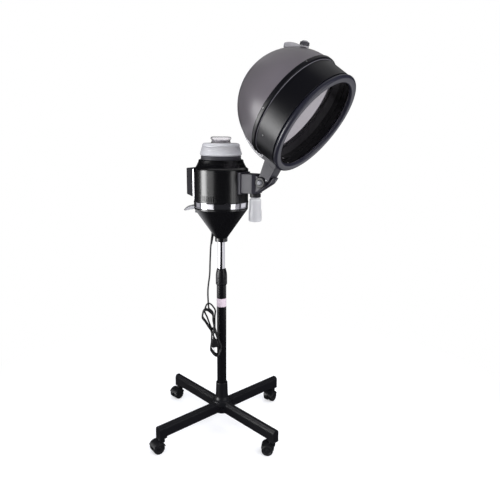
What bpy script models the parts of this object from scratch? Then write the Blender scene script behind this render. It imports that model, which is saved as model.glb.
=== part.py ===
"""Hood hair steamer on a rolling stand, as an assembly of separate closed pieces.

Lengths are in metres and +Z is up. The hood looks along +X. Every piece is placed from the
column axis, which stands COLUMN_X, COLUMN_Y from the origin, so that the origin is under the
middle of the whole machine, on the floor.
"""

import math

import bmesh
import bpy
from mathutils import Matrix, Vector

COLLECTION = "hood_hair_dryer"
CUTTERS = "cutters"

# ---------------------------------------------------------------- driving dimensions
COLUMN_X = -0.0844
COLUMN_Y = 0.0137
GAP = 0.0003                    # clearance between touching pieces

# base and casters
LEG_ANGLES = (-14.2, 75.8, 165.8, 255.8)
LEG_REACH = 0.298               # column axis to the end of a leg
LEG_TOP = 0.0985
LEG_DEPTH = 0.042
LEG_WIDTH = 0.027
LEG_RIDGE = 0.013               # flat top of a leg
LEG_CHAMFER = 0.007             # height of the sloping edge beside the flat top
LEG_WALL = 0.0035
FOOT_LENGTH = 0.030
FOOT_BOTTOM = 0.054
HUB_TOP = 0.1755
HUB_BOTTOM = 0.0490
HUB_FLARE = 0.022
HUB_BOLT_RADIUS = 0.0050
HUB_BOLT_SEAT = 0.0590
WHEEL_RADIUS = 0.0210
WHEEL_WIDTH = 0.0165
WHEEL_SIDES = 16
CASTER_TRAIL = 0.0180
CASTER_HEADINGS = (206.0, 270.0, 260.0, 250.0)   # the way each pair of wheels trails
WEB_HALF = 0.0045               # half of the web between a caster's wheels
FENDER_INNER = 0.0220
FENDER_OUTER = 0.0242
STEM_RADIUS = 0.0055
STEM_BOTTOM = 0.0430
STEM_TOP = 0.0860
BOSS_RADIUS = 0.0095
AXLE_RADIUS = 0.0035

# column and mast
COLUMN_RADIUS = 0.0180
COLUMN_BORE = 0.0165
COLUMN_FOOT = 0.0715
COLUMN_TOP = 0.5915
MAST_RADIUS = 0.0130
MAST_BORE = 0.0118
MAST_FOOT = 0.2715
MAST_TOP = 0.7735
BUSH_HEIGHT = 0.030
COLLAR_BOTTOM = 0.5700
COLLAR_TOP = 0.6325
COLLAR_RADIUS = 0.0213
COLLAR_SLOPE = 0.012
COLLET_HEIGHT = 0.030

# boiler head
SOCKET_BOTTOM = 0.7355
SOCKET_TOP = 0.7515
SOCKET_RADIUS = 0.0228
CONE_RADIUS = 0.0970
CONE_SHOULDER = 0.8575          # the cone is straight below this height
CONE_WALL = 0.003
RIM_TOP = 0.8748                # where the cone's rim meets the body's, inside the band
BAND_BOTTOM = 0.8645
BAND_TOP = 0.8855
BAND_RADIUS = 0.0985
BAND_WALL = 0.0032
BODY_RADIUS = 0.0972
BODY_TOP = 0.9975
SHELL_WALL = 0.0025
SHOULDER_TOP = 1.0315
SHOULDER_RADIUS = 0.0788
GASKET_TOP = 1.0445
GASKET_RADIUS = 0.0717
JAR_TOP = 1.0885
JAR_FOOT_RADIUS = 0.0740
JAR_HEAD_RADIUS = 0.0665
JAR_WALL = 0.0025
NECK_RADIUS = 0.0310
NECK_HEIGHT = 0.010
CAP_TOP = 1.1105
CAP_RADIUS = 0.0365
SLOT_COUNT = 6
SLOT_PITCH = 4.8                # degrees round the body
SLOT_CENTRES = (-82.0, 98.0)
SLOT_HEIGHT = 0.9005
SLOT_SIZE = (0.012, 0.0032, 0.0210)
CUP_RADIUS = 0.0800
CUP_FLANGE = 0.0880
CUP_FLOOR = 0.9075
CUP_WALL = 0.0012
HEATER_RADIUS = 0.0500
HEATER_TUBE = 0.0045

# control box, opposite the hood
BOX_INNER = 0.1008
BOX_OUTER = 0.1330
BOX_HALF_WIDTH = 0.032
BOX_TOP = 0.9980
BOX_BOTTOM_OUTER = 0.9025
BOX_BOTTOM_INNER = 0.8930
BOX_WALL = 0.0025
PLATE_HALF_WIDTH = 0.036
TIMER_Z = 0.9655
ROCKER_Z = 0.9235
ROCKER_Y = 0.0110
LAMP_Z = 0.9235
LAMP_Y = -0.0160

# drain tap under the control box
TAP_OUTER = 0.1130
TAP_INNER = 0.0790
TAP_HALF_WIDTH = 0.0110
TAP_BOTTOM = 0.8325
TAP_TOP = 0.8637
LEVER_X = -0.1195
LEVER_Z = 0.8515
LEVER_HALF_WIDTH = 0.0085
LEVER_EYE = 0.0060              # radius of the lever's round end, about its pivot

# hinge between the boiler and the hood
HINGE_X = 0.1815
HINGE_Z = 0.9625
HINGE_BOLT_RADIUS = 0.0050
KNUCKLE_RADIUS = 0.0155
KNUCKLE_HALF = 0.0205
CHEEK_OUTER = 0.0245
DISC_RADIUS = 0.0195
DISC_WIDTH = 0.0060
YOKE_HALF = 0.0275
YOKE_BACK = 0.1043
YOKE_BEND = 0.148
YOKE_FRONT = 0.160
YOKE_TOP = 0.9880
YOKE_BOTTOM = 0.9220
REST_HALF = 0.0160              # half width of the plate that the bracket comes down on
REST_OUTLINE = ((0.1450, 0.9221), (0.1545, 0.9214), (0.2135, 0.9580), (0.2270, 0.9773),
                (0.2237, 0.9796), (0.2105, 0.9607), (0.1620, 0.9308), (0.1450, 0.9308))
BUMPER_SHARE = 0.62             # how far up the plate's bent end the bumper sits
BUMPER_RADIUS = 0.0038
BUMPER_HEIGHT = 0.0022
BUMPER_STUD = 0.0016
ARM_LEAN = 25.5                 # degrees that the bracket leans from upright

# hood, measured along its own axis from the plane of the opening
HOOD_X = 0.365
HOOD_Z = 1.1505
HOOD_TILT = 35.5                # degrees that the opening looks below the horizon
LIP_RADIUS = 0.1780
LIP_INNER = 0.1520
LIP_ROLL = 0.0080
LIP_FRONT = 0.0015
SLEEVE_RADIUS = 0.1708
SLEEVE_WALL = 0.0043
SLEEVE_DEPTH = 0.0560
BAND_SHELL_RADIUS = 0.1755
BAND_SHELL_WALL = 0.0040
BAND_SHELL_START = 0.012
RING_START = 0.0855
RING_END = 0.1000
RING_RADIUS = 0.1818
RING_BORE = 0.1690
RING_SHELF = 0.0045
DOME_CENTRE = 0.0995
DOME_RADIUS = 0.1775
DOME_WALL = 0.0025
SADDLE_RADIUS = 0.1895
SADDLE_HALF_WIDTH = 0.030
SADDLE_START = 0.022
SADDLE_END = 0.084
DUCT_RADIUS = 0.1965
DUCT_HALF_WIDTH = 0.018
DUCT_FROM = 184.3               # degrees round the dome, from the opening's side
DUCT_TO = 128.0
KNOB_POLAR = 65.0               # degrees from the top of the dome to the vent knob
SCOOP_TURN = 20.0
SCOOP_SIZE = (0.0340, 0.0220, 0.0140)
VENT_ANGLE = 11.5               # degrees from the knob to the vent hole under the scoop
VENT_RADIUS = 0.0100
STUD_RADIUS = 0.0036

# drip bottle under the hinge
BOTTLE_X = 0.1455
BOTTLE_RADIUS = 0.0225
BOTTLE_NECK = 0.0150
BOTTLE_WALL = 0.0018
BOTTLE_BOTTOM = 0.8245
BOTTLE_TOP = 0.9080
BOTTLE_CAP_RADIUS = 0.0190

# cord; places on it are given across and in front of the column, as the hank faces
CORD_RADIUS = 0.0030
CORD_TURN = 36.0                # the hank hangs in a plane turned this far from +X
GLAND_RADIUS = 0.0056
GLAND_TIP_RADIUS = 0.0040
GLAND_TOP = (-0.0283, -0.0055, 0.7815)
GLAND_END = (-0.0372, 0.0020, 0.7245)
DROP_ROUTE = ((-0.0417, 0.0080, 0.6560), (-0.0434, 0.0110, 0.6125), (-0.0484, 0.0160, 0.5740),
              (-0.0504, 0.0195, 0.5500), (-0.0500, 0.0235, 0.5220))
DROP_POINTS = 26
HANK_LOOPS = 4.2
HANK_STEP = 0.0074
HANK_CENTRE = (-0.0307, 0.0440, 0.4050)
HANK_UPPER = 0.0893             # waist to the top of the loops
HANK_LOWER = 0.0997
HANK_RISE = 0.0155              # how much higher the one loose loop reaches
HANK_START = 0.085              # turns from the top where the first loop begins
HANK_HALF_WIDTH = 0.0215
HANK_WAIST = 0.0062
LEAN_UPPER = 19.0               # degrees that the hank leans, above and below its waist
LEAN_LOWER = 8.0
LEAN_LOOSE = 9.6                # lean of the loose loop
LOOSE_TURNS = 1.0               # turns after which the loose loop is at its top
LOOP_POINTS = 24
PLUG_TOP = (-0.0285, 0.0740, 0.3900)
PLUG_LEAN = 8.0
PLUG_LENGTH = 0.0300
PLUG_HALF_WIDTH = 0.0125
PLUG_HALF_DEPTH = 0.0080
SLEEVE_LENGTH = 0.0080
BLADE_PITCH = 0.0127
BLADE_SIZE = (0.0015, 0.0063, 0.0160)

STEPS_HOOD = 36
STEPS_LARGE = 28
STEPS_MEDIUM = 20
STEPS_SMALL = 14


# ---------------------------------------------------------------- scene helpers
def clear_scene():
    """Remove every object, mesh, curve, material and collection."""
    for thing in list(bpy.data.objects):
        bpy.data.objects.remove(thing, do_unlink=True)
    for group in (bpy.data.meshes, bpy.data.curves, bpy.data.materials, bpy.data.collections):
        for item in list(group):
            group.remove(item)


def make_collection(name):
    """Add a collection to the scene."""
    group = bpy.data.collections.new(name)
    bpy.context.scene.collection.children.link(group)
    return group


def make_material(name, colour, roughness, metallic=0.0, alpha=1.0):
    """Plain Principled material."""
    material = bpy.data.materials.new(name)
    material.use_nodes = True
    shader = material.node_tree.nodes["Principled BSDF"]
    shader.inputs["Base Color"].default_value = (*colour, 1.0)
    shader.inputs["Roughness"].default_value = roughness
    shader.inputs["Metallic"].default_value = metallic
    shader.inputs["Alpha"].default_value = alpha
    material.diffuse_color = (*colour, alpha)
    return material


def make_materials():
    """All finishes, by name."""
    return {
        "base": make_material("satin_black_base", (0.010, 0.010, 0.012), 0.42),
        "gloss": make_material("gloss_black", (0.006, 0.006, 0.008), 0.12),
        "matt": make_material("matt_black", (0.014, 0.014, 0.016), 0.60),
        "rubber": make_material("black_rubber", (0.012, 0.012, 0.013), 0.75),
        "chrome": make_material("chrome", (0.80, 0.80, 0.82), 0.10, 1.0),
        "steel": make_material("brushed_steel", (0.55, 0.55, 0.56), 0.30, 1.0),
        "grey": make_material("grey_plastic", (0.12, 0.12, 0.13), 0.45),
        "plate": make_material("silver_plate", (0.60, 0.60, 0.62), 0.35, 0.6),
        "smoke": make_material("smoke_dome", (0.10, 0.09, 0.10), 0.10, 0.0, 0.6),
        "clear": make_material("clear_plastic", (0.80, 0.80, 0.84), 0.08, 0.0, 0.4),
        "milk": make_material("milky_plastic", (0.80, 0.80, 0.86), 0.30, 0.0, 0.8),
        "red": make_material("red_lens", (0.50, 0.02, 0.02), 0.20, 0.0, 0.8),
    }


def empty(name, location, parent=None, rotation=(0.0, 0.0, 0.0)):
    """Frame that carries the pieces of one moving body."""
    frame = bpy.data.objects.new(name, None)
    frame.empty_display_size = 0.03
    frame.location = location
    frame.rotation_euler = rotation
    frame.parent = parent
    PARTS.objects.link(frame)
    return frame


def place(mesh, name, parent, material, location=(0.0, 0.0, 0.0)):
    """Link a mesh as one piece of the machine."""
    piece = bpy.data.objects.new(name, mesh)
    piece.parent = parent
    piece.location = location
    mesh.materials.append(MATERIALS[material])
    PARTS.objects.link(piece)
    return piece


def guide(mesh, name, parent, location=(0.0, 0.0, 0.0), rotation=(0.0, 0.0, 0.0)):
    """Link a mesh as a hidden cutter or an addition to another piece."""
    tool = bpy.data.objects.new(name, mesh)
    tool.parent = parent
    tool.location = location
    tool.rotation_euler = rotation
    tool.hide_render = True
    tool.display_type = "WIRE"
    TOOLS.objects.link(tool)
    return tool


def combine(piece, tool, operation):
    """Join a tool to a piece, or cut it away."""
    boolean = piece.modifiers.new(tool.name, "BOOLEAN")
    boolean.operation = operation
    boolean.solver = "EXACT"
    boolean.object = tool


def cut(piece, tool):
    """Cut a tool away from a piece."""
    combine(piece, tool, "DIFFERENCE")


def join(piece, tool):
    """Join a tool to a piece."""
    combine(piece, tool, "UNION")


# ---------------------------------------------------------------- shape helpers
def arc(centre, radius, start, end, count):
    """Points on an arc, with both ends; angles are in degrees."""
    points = []
    for step in range(count + 1):
        angle = math.radians(start + (end - start) * step / count)
        points.append((centre[0] + radius * math.cos(angle), centre[1] + radius * math.sin(angle)))
    return points


def profile_mesh(name, points, closed):
    """Edge chain of (radius, height) points in the XZ plane."""
    mesh = bpy.data.meshes.new(name)
    builder = bmesh.new()
    verts = [builder.verts.new((radius, 0.0, height)) for radius, height in points]
    for first, second in zip(verts, verts[1:]):
        builder.edges.new((first, second))
    if closed:
        builder.edges.new((verts[-1], verts[0]))
    builder.to_mesh(mesh)
    builder.free()
    return mesh


def spin(thing, steps):
    """Turn a profile round its local Z axis."""
    screw = thing.modifiers.new("turn", "SCREW")
    screw.axis = "Z"
    screw.steps = steps
    screw.render_steps = steps
    screw.use_merge_vertices = True
    screw.merge_threshold = 0.00001
    screw.use_smooth_shade = True


def turned(name, points, parent, material, steps=STEPS_MEDIUM, closed=False, location=(0.0, 0.0, 0.0)):
    """Turned piece; the profile runs down its outer side."""
    piece = place(profile_mesh(name, points, closed), name, parent, material, location)
    spin(piece, steps)
    return piece


def turned_guide(name, points, parent, steps=STEPS_SMALL, closed=False, location=(0.0, 0.0, 0.0),
                 rotation=(0.0, 0.0, 0.0)):
    """Turned cutter or addition."""
    tool = guide(profile_mesh(name, points, closed), name, parent, location, rotation)
    spin(tool, steps)
    return tool


def ring_profile(inner, outer, bottom, top, edge=0.0):
    """Closed section of a ring or tube, with its outer corners rounded."""
    if edge == 0.0:
        return [(outer, top), (outer, bottom), (inner, bottom), (inner, top)]
    return (arc((outer - edge, top - edge), edge, 90, 0, 3)
            + arc((outer - edge, bottom + edge), edge, 0, -90, 3)
            + [(inner, bottom), (inner, top)])


def rod_profile(radius, bottom, top, edge=0.0):
    """Open section of a solid rod, from its top centre to its bottom centre."""
    if edge == 0.0:
        return [(0.0, top), (radius, top), (radius, bottom), (0.0, bottom)]
    return ([(0.0, top)] + arc((radius - edge, top - edge), edge, 90, 0, 3)
            + arc((radius - edge, bottom + edge), edge, 0, -90, 3) + [(0.0, bottom)])


def box_mesh(name, low, high, bevel=0.0):
    """Box between two corners, with its edges rounded."""
    mesh = bpy.data.meshes.new(name)
    builder = bmesh.new()
    size = [b - a for a, b in zip(low, high)]
    middle = [(a + b) / 2 for a, b in zip(low, high)]
    shape = Matrix.Translation(middle) @ Matrix.Diagonal((*size, 1.0))
    bmesh.ops.create_cube(builder, size=1.0, matrix=shape)
    if bevel > 0.0:
        bmesh.ops.bevel(builder, geom=builder.edges[:], offset=bevel, segments=2, affect="EDGES",
                        profile=0.5)
    builder.to_mesh(mesh)
    builder.free()
    return mesh


def outline_mesh(name, points, low, high):
    """Flat outline in the XZ plane, extruded along Y from low to high."""
    curve = bpy.data.curves.new(name, "CURVE")
    curve.dimensions = "2D"
    curve.fill_mode = "BOTH"
    curve.extrude = (high - low) / 2
    spline = curve.splines.new("POLY")
    spline.points.add(len(points) - 1)
    spline.use_cyclic_u = True
    for point, (across, height) in zip(spline.points, points):
        point.co = (across, height, 0.0, 1.0)
    holder = bpy.data.objects.new(name, curve)
    TOOLS.objects.link(holder)
    graph = bpy.context.evaluated_depsgraph_get()
    mesh = bpy.data.meshes.new_from_object(holder.evaluated_get(graph))
    bpy.data.objects.remove(holder, do_unlink=True)
    bpy.data.curves.remove(curve)
    builder = bmesh.new()
    builder.from_mesh(mesh)
    bmesh.ops.remove_doubles(builder, verts=builder.verts[:], dist=0.00001)
    upright = Matrix.Translation((0.0, (low + high) / 2, 0.0)) @ Matrix.Rotation(math.radians(90), 4, "X")
    bmesh.ops.transform(builder, matrix=upright, verts=builder.verts[:])
    builder.to_mesh(mesh)
    builder.free()
    return mesh


def rod_mesh(name, radius, start, end, sides):
    """Cylinder between two points."""
    mesh = bpy.data.meshes.new(name)
    builder = bmesh.new()
    start = Vector(start)
    along = Vector(end) - start
    turn = along.to_track_quat("Z", "Y").to_matrix().to_4x4()
    shape = Matrix.Translation(start + along / 2) @ turn
    bmesh.ops.create_cone(builder, cap_ends=True, segments=sides, radius1=radius, radius2=radius,
                          depth=along.length, matrix=shape)
    builder.to_mesh(mesh)
    builder.free()
    return mesh


def polar(radius, degrees, height=0.0):
    """Point at a radius and a bearing round the Z axis."""
    angle = math.radians(degrees)
    return Vector((radius * math.cos(angle), radius * math.sin(angle), height))


# ---------------------------------------------------------------- base
def build_base(stand):
    """One-piece star base: hub, four legs and four feet."""
    wall = 0.0240
    skirt = LEG_TOP - 0.012
    hub = ([(0.0, HUB_TOP), (0.0212, HUB_TOP), (0.0222, HUB_TOP - 0.002), (wall, LEG_TOP + HUB_FLARE)]
           + arc((wall + HUB_FLARE, LEG_TOP + HUB_FLARE), HUB_FLARE, 180, 245, 4)
           + [(0.0390, skirt), (0.0330, skirt - 0.006), (0.0240, HUB_BOTTOM), (0.0, HUB_BOTTOM)])
    base = turned("star_base", hub, stand, "base", STEPS_MEDIUM)
    for number, angle in enumerate(LEG_ANGLES, start=1):
        turn = (0.0, 0.0, math.radians(angle))
        join(base, guide(leg_mesh(f"leg_{number}"), f"leg_{number}", stand, rotation=turn))
    for number, angle in enumerate(LEG_ANGLES, start=1):
        turn = (0.0, 0.0, math.radians(angle))
        half = LEG_WIDTH / 2 - LEG_WALL
        channel = box_mesh(f"leg_channel_{number}", (0.045, -half, 0.0),
                           (LEG_REACH - FOOT_LENGTH, half, LEG_TOP - 0.012))
        cut(base, guide(channel, f"leg_channel_{number}", stand, rotation=turn))
        centre = polar(LEG_REACH - FOOT_LENGTH / 2, angle)
        socket = rod_profile(STEM_RADIUS + GAP, 0.0, STEM_TOP + GAP)
        cut(base, turned_guide(f"stem_socket_{number}", socket, stand, location=centre))
    tube = COLUMN_RADIUS + GAP
    bolt = HUB_BOLT_RADIUS + 2 * GAP
    recess = 0.0125
    bore = [(0.0, HUB_TOP + 0.01), (tube, HUB_TOP + 0.01), (tube, COLUMN_FOOT - GAP),
            (bolt, COLUMN_FOOT - GAP), (bolt, HUB_BOLT_SEAT), (recess, HUB_BOLT_SEAT),
            (recess, HUB_BOTTOM - 0.01), (0.0, HUB_BOTTOM - 0.01)]
    cut(base, turned_guide("hub_bore", bore, stand, STEPS_MEDIUM))


def leg_mesh(name):
    """One leg along +X: a ridged beam and the deeper foot at its end."""
    half = LEG_WIDTH / 2
    ridge = LEG_RIDGE / 2
    edge = LEG_TOP - LEG_CHAMFER
    bottom = LEG_TOP - LEG_DEPTH
    section = [(-half, bottom), (half, bottom), (half, edge), (ridge, LEG_TOP), (-ridge, LEG_TOP),
               (-half, edge)]
    mesh = outline_mesh(name, section, 0.010, LEG_REACH)
    builder = bmesh.new()
    builder.from_mesh(mesh)
    # the section was drawn across the leg, so it is turned to run along +X
    bmesh.ops.transform(builder, matrix=Matrix.Rotation(math.radians(-90), 4, "Z"),
                        verts=builder.verts[:])
    foot_start = LEG_REACH - FOOT_LENGTH
    bmesh.ops.bisect_plane(builder, geom=builder.verts[:] + builder.edges[:] + builder.faces[:],
                           plane_co=(foot_start, 0.0, 0.0), plane_no=(1.0, 0.0, 0.0))
    soles = [face for face in builder.faces
             if face.normal.z < -0.9 and face.calc_center_median().x > foot_start]
    pulled = bmesh.ops.extrude_discrete_faces(builder, faces=soles)
    for face in pulled["faces"]:
        for vert in face.verts:
            vert.co.z = FOOT_BOTTOM
    builder.to_mesh(mesh)
    builder.free()
    return mesh


def build_stand(stand):
    """Star base, column, hub bolt and collet."""
    build_base(stand)
    seat = HUB_BOLT_SEAT - GAP
    low = seat - 0.0080
    top = COLUMN_FOOT + 0.0155
    bolt = ([(0.0, top), (HUB_BOLT_RADIUS, top), (HUB_BOLT_RADIUS, seat)]
            + arc((0.0085, seat - 0.0015), 0.0015, 90, 0, 2) + [(0.0100, low), (0.0, low)])
    turned("hub_bolt", bolt, stand, "steel", 6)
    turned("column_tube", ring_profile(COLUMN_BORE, COLUMN_RADIUS, COLUMN_FOOT, COLUMN_TOP), stand,
           "gloss", STEPS_MEDIUM, closed=True)
    inner = MAST_RADIUS + GAP
    low = COLUMN_TOP + GAP
    collet = [(0.0168, COLUMN_TOP + COLLET_HEIGHT), (0.0178, low), (inner, low),
              (inner, COLUMN_TOP + COLLET_HEIGHT)]
    turned("collet", collet, stand, "grey", STEPS_MEDIUM, closed=True)


def build_collar(collar):
    """Locking collar that turns on the top of the column."""
    inner = COLUMN_RADIUS + GAP
    points = [(0.0165, COLLAR_TOP), (0.0177, COLLAR_TOP - 0.0015),
              (COLLAR_RADIUS, COLLAR_TOP - COLLAR_SLOPE),
              (COLLAR_RADIUS, COLLAR_BOTTOM + 0.003), (COLLAR_RADIUS - 0.002, COLLAR_BOTTOM),
              (inner, COLLAR_BOTTOM), (inner, COLLAR_TOP - 0.0105),
              (MAST_RADIUS + GAP, COLLAR_TOP - 0.0085), (MAST_RADIUS + GAP, COLLAR_TOP)]
    turned("locking_collar", points, collar, "matt", STEPS_MEDIUM, closed=True)


def build_mast(mast):
    """Chrome tube and the bush at its foot."""
    turned("inner_tube", ring_profile(MAST_BORE, MAST_RADIUS, MAST_FOOT, MAST_TOP), mast, "chrome",
           STEPS_MEDIUM, closed=True)
    bush = ring_profile(MAST_RADIUS + GAP, COLUMN_BORE - GAP, MAST_FOOT, MAST_FOOT + BUSH_HEIGHT)
    turned("guide_bush", bush, mast, "grey", STEPS_MEDIUM, closed=True)


# ---------------------------------------------------------------- casters
def build_caster(number, stand):
    """Stem, hooded housing and two wheels of one caster."""
    angle = LEG_ANGLES[number - 1]
    centre = polar(LEG_REACH - FOOT_LENGTH / 2, angle)
    edge = 0.001
    stem = [(0.0, STEM_TOP), (STEM_RADIUS - edge, STEM_TOP), (STEM_RADIUS, STEM_TOP - edge),
            (STEM_RADIUS, STEM_BOTTOM), (0.0, STEM_BOTTOM)]
    turned(f"caster_stem_{number}", stem, stand, "steel", STEPS_SMALL, location=centre)
    heading = math.radians(CASTER_HEADINGS[number - 1])
    swivel = empty(f"caster_{number}", centre, stand, (0.0, 0.0, heading))
    build_housing(number, swivel)
    axle = empty(f"axle_{number}", (CASTER_TRAIL, 0.0, WHEEL_RADIUS), swivel,
                 (math.radians(-90.0), 0.0, 0.0))
    for side, name in ((1, "left"), (-1, "right")):
        build_wheel(f"caster_wheel_{name}_{number}", side, axle)


def build_housing(number, swivel):
    """Web between the wheels, fender over them, boss for the stem and moulded axle."""
    axle = (CASTER_TRAIL, WHEEL_RADIUS)
    half_width = WEB_HALF + GAP + WHEEL_WIDTH - 0.001
    seam = FENDER_INNER + 0.0009    # the web and the neck end inside the fender's wall
    name = f"caster_housing_{number}"
    web = arc(axle, seam, 22, 168, 6) + arc(axle, WHEEL_RADIUS - 0.0040, 190, 360, 6)
    housing = place(outline_mesh(name, web, -WEB_HALF, WEB_HALF), name, swivel, "base")
    fender = arc(axle, FENDER_OUTER, 20, 170, 7) + arc(axle, FENDER_INNER, 170, 20, 7)
    join(housing, guide(outline_mesh(f"fender_{number}", fender, -half_width, half_width),
                        f"fender_{number}", swivel))
    side = BOSS_RADIUS - 0.0002
    boss_bottom = STEM_BOTTOM + 0.0015
    neck = (arc(axle, seam - 0.0001, 152, 100, 5)
            + [(side, boss_bottom + 0.0035), (-side, boss_bottom + 0.0035), (-side, boss_bottom - 0.0100)])
    join(housing, guide(outline_mesh(f"neck_{number}", neck, -0.0080, 0.0080), f"neck_{number}", swivel))
    boss = rod_profile(BOSS_RADIUS, boss_bottom, FOOT_BOTTOM - 3 * GAP)
    join(housing, turned_guide(f"stem_boss_{number}", boss, swivel))
    reach = half_width + 0.0008
    pin = rod_mesh(f"axle_pin_{number}", AXLE_RADIUS, (axle[0], -reach, axle[1]),
                   (axle[0], reach, axle[1]), 10)
    join(housing, guide(pin, f"axle_pin_{number}", swivel))
    hole = rod_profile(STEM_RADIUS + GAP, STEM_BOTTOM - GAP, FOOT_BOTTOM + 0.01)
    cut(housing, turned_guide(f"stem_hole_{number}", hole, swivel))


def build_wheel(name, side, axle):
    """One wheel with a dished outer face; its sides are facets, and it stands on one."""
    near = WEB_HALF + GAP
    far = near + WHEEL_WIDTH
    flat_radius = WHEEL_RADIUS / math.cos(math.pi / WHEEL_SIDES)
    bore = AXLE_RADIUS + GAP
    dish = 0.004
    points = [(bore, far - dish), (0.0140, far - dish), (0.0155, far), (flat_radius - 0.002, far),
              (flat_radius, far - 0.002), (flat_radius, near), (bore, near)]
    wheel = turned(name, points, axle, "rubber", WHEEL_SIDES, closed=True)
    # half a facet of turn puts a facet, not an edge, on the floor
    half_facet = math.pi / WHEEL_SIDES
    wheel.rotation_euler = (0.0 if side > 0 else math.pi, 0.0, half_facet)


# ---------------------------------------------------------------- boiler head
def build_cone(head):
    """Conical lower housing with the socket that takes the mast."""
    rim = BAND_RADIUS - BAND_WALL - GAP
    inner_rim = rim - CONE_WALL
    mast = MAST_RADIUS + GAP
    vent = 0.0050
    floor = MAST_TOP + 0.004
    points = ([(rim, RIM_TOP), (rim, BAND_BOTTOM - GAP), (CONE_RADIUS, BAND_BOTTOM - GAP),
               (CONE_RADIUS, CONE_SHOULDER), (SOCKET_RADIUS + 0.001, SOCKET_TOP),
               (SOCKET_RADIUS, SOCKET_TOP - 0.002)]
              + arc((SOCKET_RADIUS - 0.004, SOCKET_BOTTOM + 0.004), 0.004, 0, -90, 3)
              + [(mast, SOCKET_BOTTOM), (mast, MAST_TOP + GAP), (vent, MAST_TOP + GAP), (vent, floor),
                 (0.0320, floor), (inner_rim, CONE_SHOULDER + 0.003), (inner_rim, RIM_TOP)])
    cone = turned("cone_housing", points, head, "gloss", STEPS_LARGE, closed=True)
    top, end = gland_ends()
    axis = (top - end).normalized()
    hole = rod_mesh("gland_hole", GLAND_RADIUS + GAP, top + axis * 0.012, top - axis * 0.030, 14)
    cut(cone, guide(hole, "gland_hole", head))


def gland_ends():
    """Upper and lower end of the strain relief."""
    return hang(*GLAND_TOP), hang(*GLAND_END)


def build_gland(head):
    """Strain relief that leaves the cone downwards."""
    top, end = gland_ends()
    length = (top - end).length
    points = [(0.0, length), (GLAND_RADIUS, length), (GLAND_RADIUS, length - 0.016),
              (GLAND_TIP_RADIUS, 0.001), (GLAND_TIP_RADIUS - 0.0002, 0.0), (0.0, 0.0)]
    gland = turned("cord_gland", points, head, "rubber", STEPS_SMALL, location=end)
    gland.rotation_euler = (top - end).to_track_quat("Z", "Y").to_euler()


def build_body(head):
    """Upper boiler shell with two groups of cooling slots."""
    inner = BODY_RADIUS - SHELL_WALL
    under = BAND_RADIUS - BAND_WALL - GAP
    points = [(BODY_RADIUS - 0.0008, BODY_TOP), (BODY_RADIUS, BODY_TOP - 0.0008),
              (BODY_RADIUS, BAND_TOP + 2 * GAP), (under, BAND_TOP + GAP), (under, RIM_TOP + GAP),
              (under - SHELL_WALL, RIM_TOP + GAP), (under - SHELL_WALL, BAND_TOP + GAP),
              (inner, BAND_TOP + 0.003), (inner, BODY_TOP)]
    body = turned("body_shell", points, head, "gloss", STEPS_LARGE, closed=True)
    for number, centre in enumerate(SLOT_CENTRES, start=1):
        slots = bpy.data.meshes.new(f"slots_{number}")
        builder = bmesh.new()
        for index in range(SLOT_COUNT):
            angle = math.radians(centre + (index - (SLOT_COUNT - 1) / 2) * SLOT_PITCH)
            shape = (Matrix.Rotation(angle, 4, "Z") @ Matrix.Translation((BODY_RADIUS, 0.0, SLOT_HEIGHT))
                     @ Matrix.Diagonal((*SLOT_SIZE, 1.0)))
            bmesh.ops.create_cube(builder, size=1.0, matrix=shape)
        builder.to_mesh(slots)
        builder.free()
        cut(body, guide(slots, f"slots_{number}", head))


def build_head(head):
    """Everything round the boiler that doesn't move by itself."""
    build_cone(head)
    build_gland(head)
    build_body(head)
    turned("clamp_band", ring_profile(BAND_RADIUS - BAND_WALL, BAND_RADIUS, BAND_BOTTOM, BAND_TOP), head,
           "chrome", STEPS_LARGE, closed=True)
    seat = BODY_TOP + GAP
    ledge = SHOULDER_TOP - 0.003
    opening = 0.0640
    shoulder = [(SHOULDER_RADIUS, SHOULDER_TOP), (SHOULDER_RADIUS + 0.0015, SHOULDER_TOP - 0.007),
                (SHOULDER_RADIUS + 0.0052, SHOULDER_TOP - 0.016),
                (SHOULDER_RADIUS + 0.0110, SHOULDER_TOP - 0.026), (BODY_RADIUS, seat),
                (BODY_RADIUS - 0.0040, seat), (SHOULDER_RADIUS + 0.0060, SHOULDER_TOP - 0.026),
                (SHOULDER_RADIUS - 0.0020, ledge), (opening, ledge), (opening, SHOULDER_TOP)]
    turned("shoulder_cover", shoulder, head, "gloss", STEPS_LARGE, closed=True)
    turned("neck_gasket", ring_profile(0.0600, GASKET_RADIUS, SHOULDER_TOP + GAP, GASKET_TOP - GAP),
           head, "grey", STEPS_LARGE, closed=True)
    build_boiler(head)
    build_controls(head)
    build_yoke(head)
    build_bottle_cap(head)
    build_tap(head)


def build_boiler(head):
    """Steel water cup and the heating ring clamped under it."""
    inner = CUP_RADIUS - CUP_WALL
    top = BODY_TOP - 0.002
    floor = CUP_FLOOR + CUP_WALL
    cup = [(CUP_FLANGE, top), (CUP_FLANGE, top - CUP_WALL), (CUP_RADIUS, top - CUP_WALL),
           (CUP_RADIUS, CUP_FLOOR + 0.004), (CUP_RADIUS - 0.004, CUP_FLOOR), (0.0, CUP_FLOOR),
           (0.0, floor), (CUP_RADIUS - 0.0045, floor), (inner, CUP_FLOOR + 0.0045), (inner, top)]
    turned("boiler_cup", cup, head, "steel", STEPS_MEDIUM, closed=True)
    middle = (HEATER_RADIUS, CUP_FLOOR - GAP - HEATER_TUBE)
    turned("heater_ring", arc(middle, HEATER_TUBE, 90, -225, 7), head, "steel", STEPS_SMALL, closed=True)


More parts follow.
